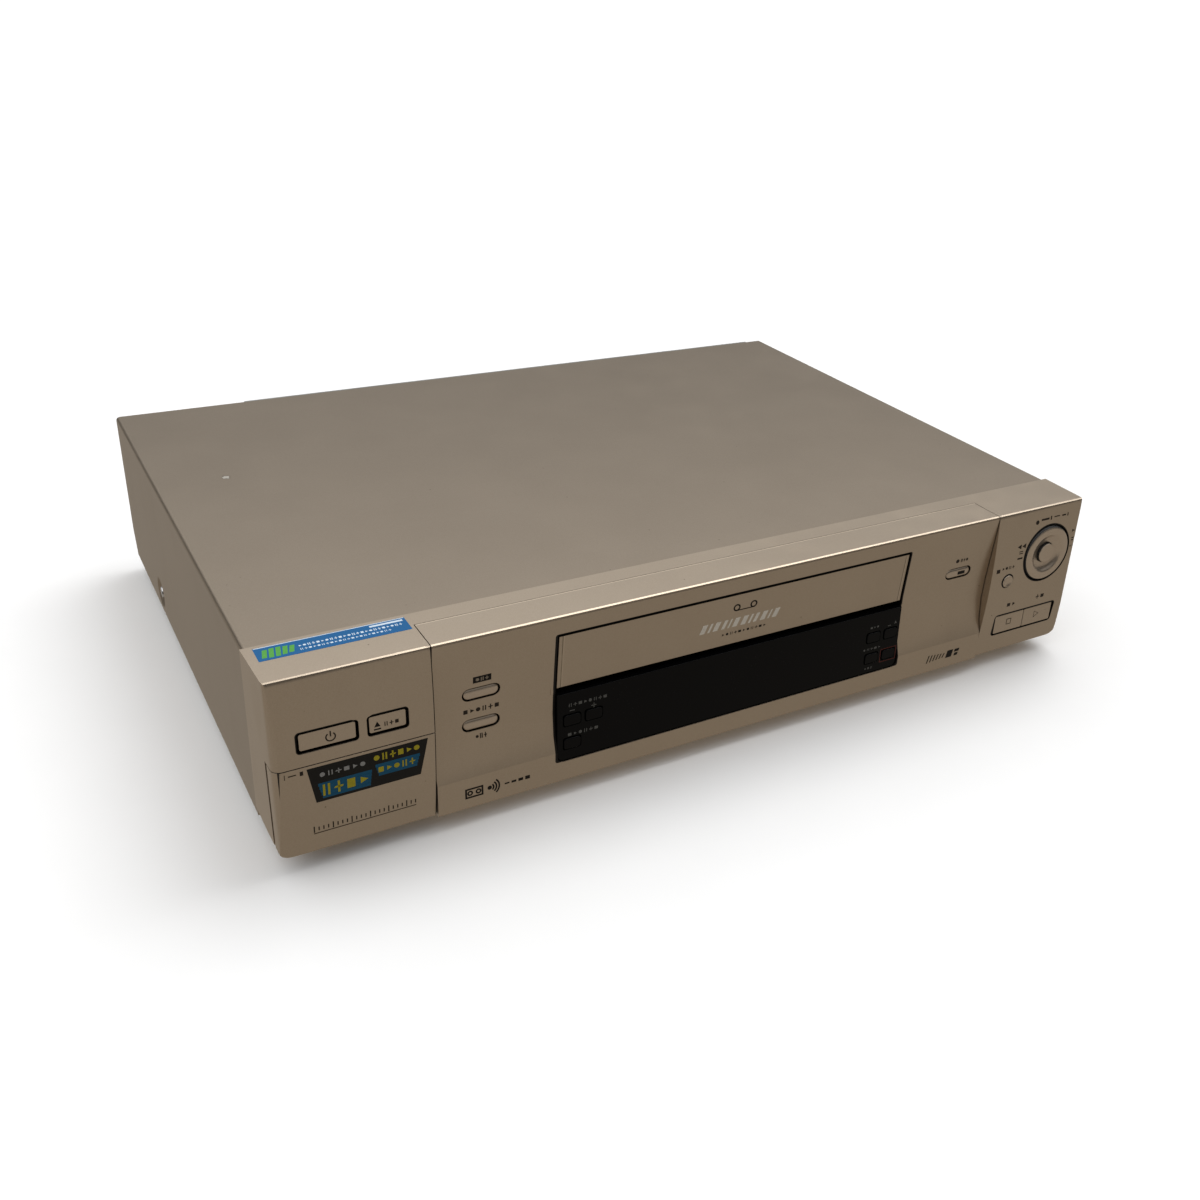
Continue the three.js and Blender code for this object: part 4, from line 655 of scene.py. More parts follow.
@dataclass(frozen=True)
class CoverLacquer(Lacquer):
    """The same lacquer on the folded steel cover, duller, with a chip on its top."""

    light: Colour = tone(161, 148, 132)
    dark: Colour = tone(153, 140, 124)
    roughness: float = 0.36
    smudge: float = 0.014
    chip: tuple[float, float, float] = (-180.3, 42.7, 91.4)
    chip_radius: float = 1.9
    chip_ragged: float = 3.2
    chip_rim: Colour = tone(92, 82, 70)
    primer: Colour = tone(214, 208, 198)

    def wear_and_sheen(self, sheet: Sheet, colour: bpy.types.NodeSocket) -> bpy.types.NodeSocket:
        """The chip down to the pale primer, with a dark rim.

        Args:
            sheet: The sheet to build on.
            colour: The colour so far.

        Returns:
            The colour with the chip.
        """
        ragged = sheet.cloud(1.6, 3)
        reach = sheet.place().distance(*self.chip) + (ragged - 0.5) * self.chip_ragged
        rim = reach.rise(self.chip_radius + 0.7, self.chip_radius + 0.1)
        rimmed = sheet.mix(rim * 0.5, colour, self.chip_rim)
        return sheet.mix(reach.rise(self.chip_radius, self.chip_radius - 0.4), rimmed, self.primer)


@dataclass(frozen=True)
class GlossBlack(Finish):
    """Deep black acrylic with dust and hair-fine scratches."""

    colour: Colour = tone(6, 6, 7)
    dusty: Colour = tone(92, 90, 86)
    roughness: float = 0.12
    specular: float = 0.1
    dust_pitch: float = 1.3
    dust_strength: float = 0.35
    haze_size: float = 21
    hair_size: float = 0.5
    hair_run: tuple[float, ...] = (0.12, 1.0, 1.0)
    hair_depth: float = 0.004

    def paint(self, sheet: Sheet) -> None:
        """Builds the acrylic's nodes.

        Args:
            sheet: The sheet to build on.
        """
        dust = sheet.dots(self.dust_pitch).rise(0.12, 0.05)
        haze = sheet.cloud(self.haze_size, 3)
        hair = sheet.cloud(self.hair_size, 1, self.hair_run).rise(0.68, 0.78)
        sheet.bump(hair, self.hair_depth, 0.4)
        sheet.finish(
            base_color=sheet.mix(dust * haze.rise(0.4, 0.7) * self.dust_strength, self.colour, self.dusty),
            roughness=haze * 0.08 + hair * 0.06 + (self.roughness - 0.04),
            specular_ior_level=self.specular,
        )


@dataclass(frozen=True)
class Moulded(Finish):
    """Plain moulded plastic with a fine spark-eroded grain."""

    colour: Colour = tone(30, 30, 31)
    worn_colour: Colour = tone(46, 45, 44)
    roughness: float = 0.5
    grain_size: float = 0.45
    grain_depth: float = 0.03
    cloud_size: float = 24

    def paint(self, sheet: Sheet) -> None:
        """Builds the plastic's nodes.

        Args:
            sheet: The sheet to build on.
        """
        grain = sheet.cloud(self.grain_size, 2)
        clouds = sheet.cloud(self.cloud_size, 3)
        sheet.bump(grain, self.grain_depth, 0.5)
        colour = sheet.mix(clouds.rise(0.4, 0.8) * 0.6 + grain * 0.2, self.colour, self.worn_colour)
        roughness = clouds * 0.12 + (self.roughness - 0.06)
        sheet.finish(base_color=self.tinted(sheet, colour), roughness=roughness)

    def tinted(self, sheet: Sheet, colour: bpy.types.NodeSocket) -> bpy.types.NodeSocket:
        """Parts moulded in other colours. Plain plastic has none."""
        return colour


@dataclass(frozen=True)
class SocketPlastic(Moulded):
    """Black plastic whose sockets have coloured inserts."""

    inserts: tuple[tuple[float, float, Colour], ...] = ()
    radius: float = 3.1

    def tinted(self, sheet: Sheet, colour: bpy.types.NodeSocket) -> bpy.types.NodeSocket:
        """The inserts, each at its own place.

        Args:
            sheet: The sheet to build on.
            colour: The colour so far.

        Returns:
            The colour with the inserts.
        """
        place = sheet.place()
        for x, z, tint in self.inserts:
            off = ((place.x - x) ** 2 + (place.z - z) ** 2) ** 0.5
            colour = sheet.mix(off.rise(self.radius + 0.1, self.radius - 0.1), colour, tint)
        return colour


@dataclass(frozen=True)
class Zinc(Finish):
    """Zinc-plated sheet steel: rolled one way, faintly clouded and spotted."""

    light: Colour = tone(186, 187, 183)
    dark: Colour = tone(150, 151, 147)
    metallic: float = 0.9
    roughness: float = 0.34
    rolled_size: float = 0.5
    rolled_run: tuple[float, ...] = (0.03, 1.0, 1.0)
    rolled_depth: float = 0.01
    spangle_size: float = 14
    cloud_size: float = 45

    def paint(self, sheet: Sheet) -> None:
        """Builds the zinc's nodes.

        Args:
            sheet: The sheet to build on.
        """
        rolled = sheet.cloud(self.rolled_size, 2, self.rolled_run)
        spangle = sheet.grains(self.spangle_size, channel=1)
        clouds = sheet.cloud(self.cloud_size, 4)
        sheet.bump(rolled, self.rolled_depth, 0.4)
        sheet.finish(
            base_color=sheet.mix(clouds * 0.5 + spangle * 0.3 + rolled * 0.2, self.dark, self.light),
            metallic=self.metallic,
            roughness=clouds * 0.12 + spangle * 0.05 + (self.roughness - 0.08),
        )


@dataclass(frozen=True)
class Turned(Finish):
    """Bright turned metal, with fine rings about an upright axis."""

    light: Colour = tone(214, 214, 216)
    dark: Colour = tone(172, 173, 176)
    roughness: float = 0.2
    ring_size: float = 0.35
    ring_run: tuple[float, ...] = (0.1, 0.1, 1.0)
    ring_depth: float = 0.006
    cloud_size: float = 8

    def paint(self, sheet: Sheet) -> None:
        """Builds the metal's nodes.

        Args:
            sheet: The sheet to build on.
        """
        rings = sheet.cloud(self.ring_size, 1, self.ring_run)
        clouds = sheet.cloud(self.cloud_size, 3)
        sheet.bump(rings, self.ring_depth, 0.5)
        sheet.finish(
            base_color=sheet.mix(rings * 0.5 + clouds * 0.5, self.dark, self.light),
            metallic=1.0,
            roughness=clouds * 0.1 + (self.roughness - 0.05),
        )


@dataclass(frozen=True)
class Rubber(Finish):
    """Matt black rubber with dust in its pores."""

    colour: Colour = tone(26, 26, 26)
    dusty: Colour = tone(62, 60, 57)
    roughness: float = 0.78
    pore_size: float = 0.8
    pore_depth: float = 0.05
    cloud_size: float = 12

    def paint(self, sheet: Sheet) -> None:
        """Builds the rubber's nodes.

        Args:
            sheet: The sheet to build on.
        """
        pores = sheet.cloud(self.pore_size, 3)
        clouds = sheet.cloud(self.cloud_size, 3)
        sheet.bump(pores, self.pore_depth, 0.5)
        sheet.finish(
            base_color=sheet.mix(clouds.rise(0.45, 0.8) * 0.7 + pores * 0.15, self.colour, self.dusty),
            roughness=pores * 0.15 + self.roughness,
        )


@dataclass(frozen=True)
class Circuit(Finish):
    """A circuit board: solder mask over copper tracks, with pads and pale print."""

    mask: Colour = tone(34, 84, 52)
    track: Colour = tone(48, 112, 66)
    pad: Colour = tone(196, 190, 168)
    lane_pitch: float = 2.1
    zone_size: float = 19
    pad_pitch: float = 3.4
    roughness: float = 0.42
    track_height: float = 0.06

    def paint(self, sheet: Sheet) -> None:
        """Builds the board's nodes.

        Args:
            sheet: The sheet to build on.
        """
        place = sheet.place()
        lanes_x, lanes_y = (self._lanes(across) for across in (place.x, place.y))
        along = sheet.grains(self.zone_size).rise(0.48, 0.52)
        tracks = lanes_x * along + lanes_y * (1 - along)
        dots = sheet.dots(self.pad_pitch).rise(0.2, 0.16)
        copper = sheet.mix(tracks, self.mask, self.track)
        sheet.bump(tracks * 0.6 + dots * 0.4, self.track_height, 0.6)
        colour = sheet.mix(dots, copper, self.pad)
        sheet.finish(base_color=colour, metallic=dots * 0.7, roughness=self.roughness - dots * 0.12)

    def _lanes(self, across: Reading) -> Reading:
        """Parallel tracks, each as wide as a share of their pitch."""
        return abs(across.remainder(self.lane_pitch) - self.lane_pitch / 2).rise(0.42, 0.3)


@dataclass(frozen=True)
class Glass(Finish):
    """Smoked display glass over a dark grid."""

    colour: Colour = tone(26, 34, 33)
    grid: Colour = tone(48, 58, 56)
    grid_pitch: float = 1.2
    roughness: float = 0.08
    coat: float = 0.6

    def paint(self, sheet: Sheet) -> None:
        """Builds the glass's nodes.

        Args:
            sheet: The sheet to build on.
        """
        place = sheet.place()
        upright, level = (
            abs(across.remainder(self.grid_pitch) - self.grid_pitch / 2).rise(0.1, 0.05)
            for across in (place.x, place.z)
        )
        mesh = upright.most(level)
        colour = sheet.mix(mesh, self.colour, self.grid)
        sheet.finish(base_color=colour, roughness=self.roughness + mesh * 0.1, coat_weight=self.coat)


@dataclass(frozen=True)
class Ink(Finish):
    """Screen-printed ink, a little uneven."""

    colour: Colour
    faded: Colour
    roughness: float = 0.45
    specular: float = 0.15
    grain_size: float = 0.9

    def paint(self, sheet: Sheet) -> None:
        """Builds the ink's nodes.

        Args:
            sheet: The sheet to build on.
        """
        wear_and_sheen = sheet.cloud(self.grain_size, 2)
        sheet.finish(
            base_color=sheet.mix(wear_and_sheen.rise(0.5, 0.8) * 0.7, self.colour, self.faded),
            roughness=wear_and_sheen * 0.1 + (self.roughness - 0.05),
            specular_ior_level=self.specular,
        )


COVER_LACQUER = CoverLacquer("cover_lacquer", "cover_paint")
# Painted shade: rims round the keys, the dial, the round key and the window, and along two seams
PANEL_SEAM = Hole(-149.1, 50.5, 0.1, 41.0, radius=0.1, rim=0.25, aside=0.0)
DOOR_SEAM = Hole(-180.0, 52.3, 32.4, 0.1, radius=0.1, rim=0.25, aside=0.1)
ROUND_KEY_HOLE = Hole(166.3, 53.3, 3.9, 3.9, radius=3.9, rim=0.25)
WINDOW_HOLE = Hole(1.9, 51.0, 96.2, 32.0, radius=1.0, rim=0.25)
# Each moulded lacquer goes near black deeper than its reach behind the face, as painted shade
FRONT_LACQUER = MouldedLacquer(
    "front_lacquer",
    "front_paint",
    holes=(
        hole_round("power_button", "power_button", gap=-0.9, radius=1.6, rim=0.2),
        hole_round("eject_button", "eject_button", gap=-0.9, radius=1.6, rim=0.2),
        hole_round("stop_button", "play_button", gap=-0.9, radius=1.6, rim=0.6),
        hole_round("shuttle_ring", "shuttle_ring", gap=0.6, radius=16.0, rim=0.55),
        ROUND_KEY_HOLE,
        DOOR_SEAM,
        PANEL_SEAM,
    ),
)
# The door's sides and top go near black just behind its face, as painted shade
DOOR_LACQUER = MouldedLacquer(
    "door_lacquer", "front_paint", reach=0.12, spans=((-212.2, -140.0),), low=5.0, holes=(PANEL_SEAM,)
)
FASCIA_LACQUER = MouldedLacquer(
    "fascia_lacquer",
    "front_paint",
    face=Face.FASCIA,
    spans=((-146.0, 151.0),),
    # A painted highlight along the fascia's top seam
    seam=-140.55,
    holes=(WINDOW_HOLE,),
)
FLAP_LACQUER = MouldedLacquer(
    "flap_lacquer",
    "front_paint",
    face=Face.FASCIA,
    # Its edges go near black half a millimetre behind the face, as painted shade
    reach=0.5,
    spans=((-97.0, 101.0),),
    # Painted shade and a painted highlight along two mould lines
    grooves=(-91.1, 94.9),
)
PANEL_KEY_LACQUER = MouldedLacquer(
    "panel_key_lacquer",
    "front_paint",
    light=tone(190, 176, 158),
    dark=tone(181, 166, 149),
    # The keys' sides go near black about a millimetre behind the panel's face, as painted shade
    reach=0.95,
    spans=((-214.0, 214.0),),
)
RING_LACQUER = Lacquer("ring_lacquer", "front_paint", light=KeyLacquer.light, dark=KeyLacquer.dark)
BLACK_ACRYLIC = GlossBlack("black_acrylic", "black_gloss")
BLACK_MOULDED = Moulded("black_moulded", "black_plastic")
INSERT_COLOURS = (tone(214, 176, 30), tone(222, 220, 214), tone(176, 34, 30))
INSERT_PITCH = 14.0


def sockets(name: str, left: float, levels: tuple[float, ...]) -> SocketPlastic:
    """Black plastic with rows of three coloured sockets.

    Args:
        name: The finish's name.
        left: Where the first socket of every row is, across.
        levels: The height of every row.

    Returns:
        The finish.
    """
    inserts = tuple(
        (left + INSERT_PITCH * place, z, tint) for z in levels for place, tint in enumerate(INSERT_COLOURS)
    )
    return SocketPlastic(name, "black_plastic", inserts=inserts)


def ink(name: str, colour: Shares, faded: Shares, slot: str = "black_gloss") -> Ink:
    """Printed ink.

    Args:
        name: The finish's name.
        colour: Its colour, 0 to 255.
        faded: Its colour where it has faded, 0 to 255.
        slot: The record's slot that it stands for.

    Returns:
        The finish.
    """
    return Ink(name, slot, tone(*colour), tone(*faded))


def film(name: str, colour: Shares, faded: Shares, roughness: float = 0.25) -> Ink:
    """Smooth label film.

    Args:
        name: The finish's name.
        colour: Its colour, 0 to 255.
        faded: Its colour where it has faded, 0 to 255.
        roughness: Its roughness.

    Returns:
        The finish.
    """
    return Ink(name, "black_gloss", tone(*colour), tone(*faded), roughness)


REAR_SOCKETS = sockets("rear_sockets", 26.0, (35.0, 53.0))
FRONT_SOCKETS = sockets("front_sockets", -193.5, (24.0,))
ZINC = Zinc("zinc_sheet", "zinc_steel")
BRIGHT = Turned("bright_turned", "bright_metal")
RUBBER = Rubber("black_rubber", "rubber")
BOARD = Circuit("circuit_mask", "circuit_board")
SMOKED = Glass("smoked_glass", "glass")
DARK_INK = ink("dark_ink", (20, 16, 13), (36, 31, 26))
SOFT_INK = ink("soft_ink", (46, 38, 31), (64, 55, 46))
BUFF_INK = ink("buff_ink", (150, 138, 122), (136, 124, 109), "cover_paint")
PALE_INK = ink("pale_ink", (230, 225, 215), (208, 201, 189), "cover_paint")
GREY_INK = ink("grey_ink", (96, 96, 94), (66, 66, 65))
RED_INK = ink("red_ink", (84, 34, 28), (60, 27, 24))
FILM_BLACK = film("label_black", (27, 26, 24), (36, 34, 31))
FILM_BLUE = film("label_blue", (22, 86, 120), (28, 94, 124))
FILM_YELLOW = film("label_yellow", (176, 164, 40), (158, 148, 44))
FILM_GREY = film("label_grey", (150, 150, 150), (118, 118, 120))
STRIP_BLUE = film("strip_blue", (0, 88, 142), (4, 96, 150), 0.22)
STRIP_WHITE = film("strip_white", (206, 220, 232), (170, 196, 220), 0.22)
STRIP_GREEN = film("strip_green", (78, 154, 62), (98, 170, 74), 0.22)


# Ways to finish and print on CAD nodes


class Edge(Enum):
    """How far a piece's edges are rounded, in millimetres."""

    SHEET = 0.12
    FINE = 0.2
    MOULDED = 0.35
    SOFT = 0.6


# Folds in degrees, the weld in millimetres, and how strongly broad faces flatten their edges' shading
PLAIN_FOLD = 28.0
CREASE_FOLD = 14.0
WELD = 0.002
BEVEL_STEPS = 2
FLATTENING = 60


def soft_shading(fold: float) -> bpy.types.NodeTree:
    """The modifier tree that shades shallow folds smooth and keeps sharp ones.

    Args:
        fold: Folds steeper than this stay sharp, in degrees.

    Returns:
        The tree, made the first time that it is asked for.
    """
    name = f"soft_shading_{fold:.0f}"
    known = bpy.data.node_groups.get(name)
    if known:
        return known
    tree = bpy.data.node_groups.new(name, "GeometryNodeTree")
    for way in ("INPUT", "OUTPUT"):
        tree.interface.new_socket("Geometry", in_out=way, socket_type="NodeSocketGeometry")
    sheet = Sheet(tree)
    start = sheet.node("NodeGroupInput", {}, {})
    angle = sheet.node("GeometryNodeInputMeshEdgeAngle", {}, {}).outputs["Unsigned Angle"]
    compared = {0: angle, 1: math.radians(fold)}
    steep = sheet.node("FunctionNodeCompare", {"operation": "GREATER_THAN"}, compared)
    sharpened = {"Mesh": start.outputs[0], "Edge Sharpness": steep.outputs["Result"]}
    normals = sheet.node("GeometryNodeSetMeshNormal", {}, sharpened)
    sheet.node("NodeGroupOutput", {}, {0: normals.outputs["Mesh"]})
    return tree


def soften(piece: bpy.types.Object, edge: Edge, fold: float) -> None:
    """Rounds a piece's edges by modifiers, and leaves its mesh as it is.

    Args:
        piece: The piece to soften.
        edge: How far its edges are rounded.
        fold: Folds steeper than this stay sharp, in degrees.
    """
    weld = piece.modifiers.new("weld", "WELD")
    weld.merge_threshold = WELD * MM
    shade(piece, fold)
    bevel = piece.modifiers.new("edges", "BEVEL")
    bevel.width = edge.value * MM
    bevel.segments = BEVEL_STEPS
    bevel.limit_method = "ANGLE"
    bevel.angle_limit = math.radians(fold + 2)
    bevel.use_clamp_overlap = True
    flat_faces = piece.modifiers.new("flat_faces", "WEIGHTED_NORMAL")
    flat_faces.keep_sharp = True
    flat_faces.weight = FLATTENING


def shade(piece: bpy.types.Object, fold: float = PLAIN_FOLD) -> None:
    """Keeps a piece's sharp edges sharp and shades the rest smooth."""
    shading = piece.modifiers.new("shading", "NODES")
    shading.node_group = soft_shading(fold)


def dress(finish: Finish, edge: Edge, *nodes: str, fold: float = PLAIN_FOLD) -> None:
    """Gives CAD nodes their finish and soft edges.

    Args:
        finish: The finish that they all get.
        edge: How far their edges are rounded.
        *nodes: The CAD nodes.
        fold: Folds steeper than this stay sharp, in degrees.
    """
    for node in nodes:
        piece = frame["nodes"][node]
        for slot in piece.material_slots:
            slot.material = finish.material()
        soften(piece, edge, fold)
    log.info("%s: %s", finish.name, ", ".join(nodes))


# Marks


def bar(x: float, z: float, width: float, height: float, slant: float = 0.0) -> Outline:
    """A bar with its middle at a point. Slant leans its top to the right.

    Args:
        x: Middle across.
        z: Middle in height, or along for a mark on the top.
        width: Its width.
        height: Its height.
        slant: How far its top edge is moved to the right, and its bottom edge to the left.

    Returns:
        Its corners.
    """
    wide, high = width / 2, height / 2
    return [
        (x - wide - slant, z - high),
        (x + wide - slant, z - high),
        (x + wide + slant, z + high),
        (x - wide + slant, z + high),
    ]


def round_spot(x: float, z: float, radius: float, turn: float) -> Point:
    """The point of a circle at a turn, in radians from the right."""
    return (x + radius * math.cos(turn), z + radius * math.sin(turn))


def disc(x: float, z: float, radius: float, steps: int = 20) -> Outline:
    """A filled round dot."""
    return [round_spot(x, z, radius, math.tau * step / steps) for step in range(steps)]


def arrow(x: float, z: float, size: float, heading: float) -> Outline:
    """A filled triangle that points along a heading, in degrees from the right."""
    return [round_spot(x, z, size, math.radians(heading + turn)) for turn in (0, 125, 235)]


def arc(x: float, z: float, radius: float, stroke: float, start: float = 0, end: float = 360) -> Shapes:
    """A drawn arc or ring, as short joined strokes.

    Args:
        x: Middle across.
        z: Middle in height.
        radius: Outer radius.
        stroke: Width of the line.
        start: Where it starts, in degrees from the right.
        end: Where it ends.

    Returns:
        Its strokes.
    """
    steps = max(3, round((end - start) / 15))
    turns = [math.radians(start + (end - start) * step / steps) for step in range(steps + 1)]
    inner = [round_spot(x, z, radius - stroke, turn) for turn in turns]
    outer = [round_spot(x, z, radius, turn) for turn in turns]
    return tuple([inner[i], outer[i], outer[i + 1], inner[i + 1]] for i in range(steps))


def drawn_box(x: float, z: float, width: float, height: float, stroke: float) -> Shapes:
    """A drawn rectangle, as four strokes.

    Args:
        x: Middle across.
        z: Middle in height.
        width: Its outer width.
        height: Its outer height.
        stroke: Width of the line.

    Returns:
        Its strokes.
    """
    across, up = (width - stroke) / 2, (height - stroke) / 2
    levels = [bar(x, z + up, width, stroke), bar(x, z - up, width, stroke)]
    uprights = [bar(x + side * across, z, stroke, height - 2 * stroke) for side in (-1, 1)]
    return (*levels, *uprights)


def drawn_triangle(corners: tuple[Point, Point, Point], stroke: float) -> Shapes:
    """A drawn triangle, as three strokes.

    Args:
        corners: Its outer corners.
        stroke: Width of the line.

    Returns:
        Its strokes.
    """
    middle = (sum(x for x, _ in corners) / 3, sum(z for _, z in corners) / 3)
    share = stroke * 0.55
    inner = [(x + (middle[0] - x) * share, z + (middle[1] - z) * share) for x, z in corners]
    return tuple([corners[a], corners[b], inner[b], inner[a]] for a, b in ((0, 1), (1, 2), (2, 0)))


def bars(first: tuple[float, ...], step: tuple[float, ...], count: int, slant: float = 0.0) -> Shapes:
    """A row or a stack of bars that change evenly.

    Args:
        first: The first bar's x, z, width and height.
        step: What each bar adds to the x, z, width and height of the one before it.
        count: How many bars.
        slant: How far they lean.

    Returns:
        The bars.
    """
    return tuple(
        bar(*(start + place * change for start, change in zip(first, step)), slant) for place in range(count)
    )


class Sign(Enum):
    """The plain signs of a caption, in the order in which they take turns."""

    BLOCK = 0
    TRIANGLE = 1
    DOT = 2
    TWO_BARS = 3
    PLUS = 4

    def drawn(self, x: float, z: float, pitch: float, height: float, stroke: float) -> Shapes:
        """One sign.

        Args:
            x: Middle across.
            z: Middle in height.
            pitch: The room that it has across.
            height: Its height.
            stroke: Width of its lines.

        Returns:
            Its shapes.
        """
        small = min(pitch * 0.4, height / 2)
        aside = pitch * 0.2
        shapes = {
            Sign.BLOCK: (bar(x, z, pitch * 0.66, height * 0.8),),
            Sign.TRIANGLE: (arrow(x, z, small, 0),),
            Sign.DOT: (disc(x, z, small * 0.9),),
            Sign.TWO_BARS: (bar(x - aside, z, stroke, height), bar(x + aside, z, stroke, height)),
            Sign.PLUS: (bar(x, z, pitch * 0.7, stroke, pitch * 0.05), bar(x, z, stroke, height)),
        }
        return shapes[self]


def signs(
    left: float,
    right: float,
    z: float,
    height: float,
    count: int,
    first: Sign = Sign.BLOCK,
    weight: float = 0.2,
) -> Shapes:
    """A row of small plain signs, where the real one has a caption.

    Args:
        left: Where the row starts.
        right: Where it ends.
        z: Middle in height.
        height: Height of a sign.
        count: How many signs.
        first: Which kind comes first.
        weight: Width of the lines, as a share of the height.

    Returns:
        The signs.
    """
    pitch = (right - left) / count
    kinds = list(Sign)
    shapes: list[Outline] = []
    for place in range(count):
        kind = kinds[(first.value + place) % len(kinds)]
        shapes += kind.drawn(left + pitch * (place + 0.5), z, pitch, height, height * weight)
    return tuple(shapes)


# How far off a ray starts, in millimetres
CLEAR = 400.0


class Side(Enum):
    """The side that a mark is printed on, with the way to look at it."""

    FRONT = (0.0, 1.0, 0.0)
    ABOVE = (0.0, 0.0, -1.0)

    def start(self, point: Point) -> Vector:
        """A spot well clear of the recorder, in front of a point.

        Args:
            point: The point, in millimetres across and up, or across and back from above.

        Returns:
            The spot in metres.
        """
        across, along = point
        spot = (across, -CLEAR, along) if self is Side.FRONT else (across, along, CLEAR)
        return Vector([part * MM for part in spot])

    @property
    def inward(self) -> Vector:
        """The direction from outside into the surface."""
        return Vector(self.value)


# Surfaces that marks were laid on, by the name of their node or piece
_skins: dict[str, BVHTree] = {}


def carrier(name: str) -> bpy.types.Object:
    """The CAD node or new piece of a name."""
    return frame["nodes"].get(name) or bpy.data.objects[name]


def surface_spot(name: str, side: Side, point: Point) -> Vector | None:
    """Where a point lies on the finished surface of a CAD node or a new piece.

    Args:
        name: The node or piece. Its surface is kept, so that later points find it fast.
        side: The side to look from.
        point: The point, in millimetres, as seen from there.

    Returns:
        The spot in metres, or nothing where the point misses.
    """
    if name not in _skins:
        graph = bpy.context.evaluated_depsgraph_get()
        _skins[name] = BVHTree.FromObject(carrier(name), graph)
    return _skins[name].ray_cast(side.start(point), side.inward)[0]


@dataclass(frozen=True)
class Mark:
    """Ink or film laid on a CAD node's own surface, a hair thick."""

    name: str
    node: str
    finish: Finish
    side: Side = Side.FRONT
    lift: float = 0.05
    sunk: float = 0.04

    def lay(self, *groups: Shapes) -> None:
        """Lays shapes on the node, in one piece that rides with it.

        Args:
            *groups: The shapes, in millimetres across and up, or across and back from above.
        """
        mesh = bmesh.new()
        for shapes in groups:
            for outline in shapes:
                self._lay_one(mesh, outline)
        bmesh.ops.recalc_face_normals(mesh, faces=mesh.faces)
        add_piece(self.name, mesh, self.finish, self.node)

    def _lay_one(self, mesh: bmesh.types.BMesh, outline: Outline) -> None:
        """Lays one outline: its face, its thin sides and its back.

        Args:
            mesh: The mesh to add it to.
            outline: The outline.
        """
        spots = [surface_spot(self.node, self.side, point) for point in outline]
        if None in spots:
            log.warning("%s: a point misses %s", self.name, self.node)
            return
        inward = self.side.inward * MM
        front = [mesh.verts.new(spot - inward * self.lift) for spot in spots]
        back = [mesh.verts.new(spot + inward * self.sunk) for spot in spots]
        mesh.faces.new(front)
        mesh.faces.new(reversed(back))
        for place in range(len(spots)):
            after = (place + 1) % len(spots)
            mesh.faces.new((front[place], back[place], back[after], front[after]))


def add_piece(name: str, mesh: bmesh.types.BMesh, finish: Finish, node: str) -> bpy.types.Object:
    """Turns a mesh in the making into a piece with its finish, riding with a node.

    Args:
        name: The piece's name.
        mesh: The mesh, which is freed.
        finish: Its finish.
        node: The CAD node or piece whose body it rides on.

    Returns:
        The new piece.
    """
    data = bpy.data.meshes.new(name)
    mesh.to_mesh(data)
    mesh.free()
    data.materials.append(finish.material())
    piece = bpy.data.objects.new(name, data)
    bpy.context.scene.collection.objects.link(piece)
    body = carrier(node)["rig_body"]
    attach(piece, body)
    log.info("%s on %s", name, body)
    return piece


# Finer pieces that take a CAD node's place


def joined_rings(rings: Sequence[Sequence[Vector]], closed: bool) -> bmesh.types.BMesh:
    """A mesh that joins rings of the same count of points, given in millimetres.

    Args:
        rings: The rings, in order.
        closed: Whether the last ring joins the first. If not, both ends are filled.

    Returns:
        The mesh.
    """
    mesh = bmesh.new()
    loops = [[mesh.verts.new(point * MM) for point in ring] for ring in rings]
    pairs = list(zip(loops, loops[1:] + loops[:1] if closed else loops[1:]))
    for first, second in pairs:
        for place in range(len(first)):
            after = (place + 1) % len(first)
            mesh.faces.new((first[place], first[after], second[after], second[place]))
    if not closed:
        mesh.faces.new(reversed(loops[0]))
        mesh.faces.new(loops[-1])
    bmesh.ops.recalc_face_normals(mesh, faces=mesh.faces)
    for face in mesh.faces:
        face.smooth = True
    return mesh


@dataclass(frozen=True)
class BarrelKey:
    """An oval key with a barrel-shaped face, on the CAD key's own cap and flange."""

    node: str
    flange: float = 0.9
    flange_depth: float = 1.2
    gap: float = 0.7
    dome: float = 1.0
    dome_turn: float = 88
    dome_steps: int = 10
    end_steps: int = 14

    def build(self) -> None:
        """Builds the key in the CAD key's place."""
        low, high = box_of(self.node)
        hole = (high.z - low.z) / 2 - self.flange
        cap = hole - self.gap
        shoulder = high.y - self.flange_depth
        levels = [(hole + self.flange, high.y), (hole + self.flange, shoulder), (cap, shoulder)]
        for step in range(self.dome_steps + 1):
            turn = math.radians(self.dome_turn) * step / self.dome_steps
            levels.append((cap * math.cos(turn), low.y + self.dome * (1 - math.sin(turn))))
        rings = [self._ring(low, high, radius, y) for radius, y in levels]
        # The key's sides get painted shade behind its front
        finish = KeyLacquer(f"{self.node}_lacquer", "front_paint", front=low.y)
        piece = add_piece(f"{self.node}_barrel", joined_rings(rings, closed=False), finish, self.node)
        shade(piece)
        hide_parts(self.node)

    def _ring(self, low: Vector, high: Vector, radius: float, y: float) -> list[Vector]:
        """One level's outline: two half circles joined by straight sides.

        Args:
            low: The node's lowest corner.
            high: Its highest corner.
            radius: Radius of the half circles.
            y: The level.

        Returns:
            The outline's points.
        """
        middle = (low + high) / 2
        straight = ((high.x - low.x) - (high.z - low.z)) / 2
        points = []
        for side in (1, -1):
            for step in range(self.end_steps + 1):
                turn = math.pi * (step / self.end_steps - 0.5)
                x = middle.x + side * (straight + radius * math.cos(turn))
                points.append(Vector((x, y, middle.z + side * radius * math.sin(turn))))
        return points


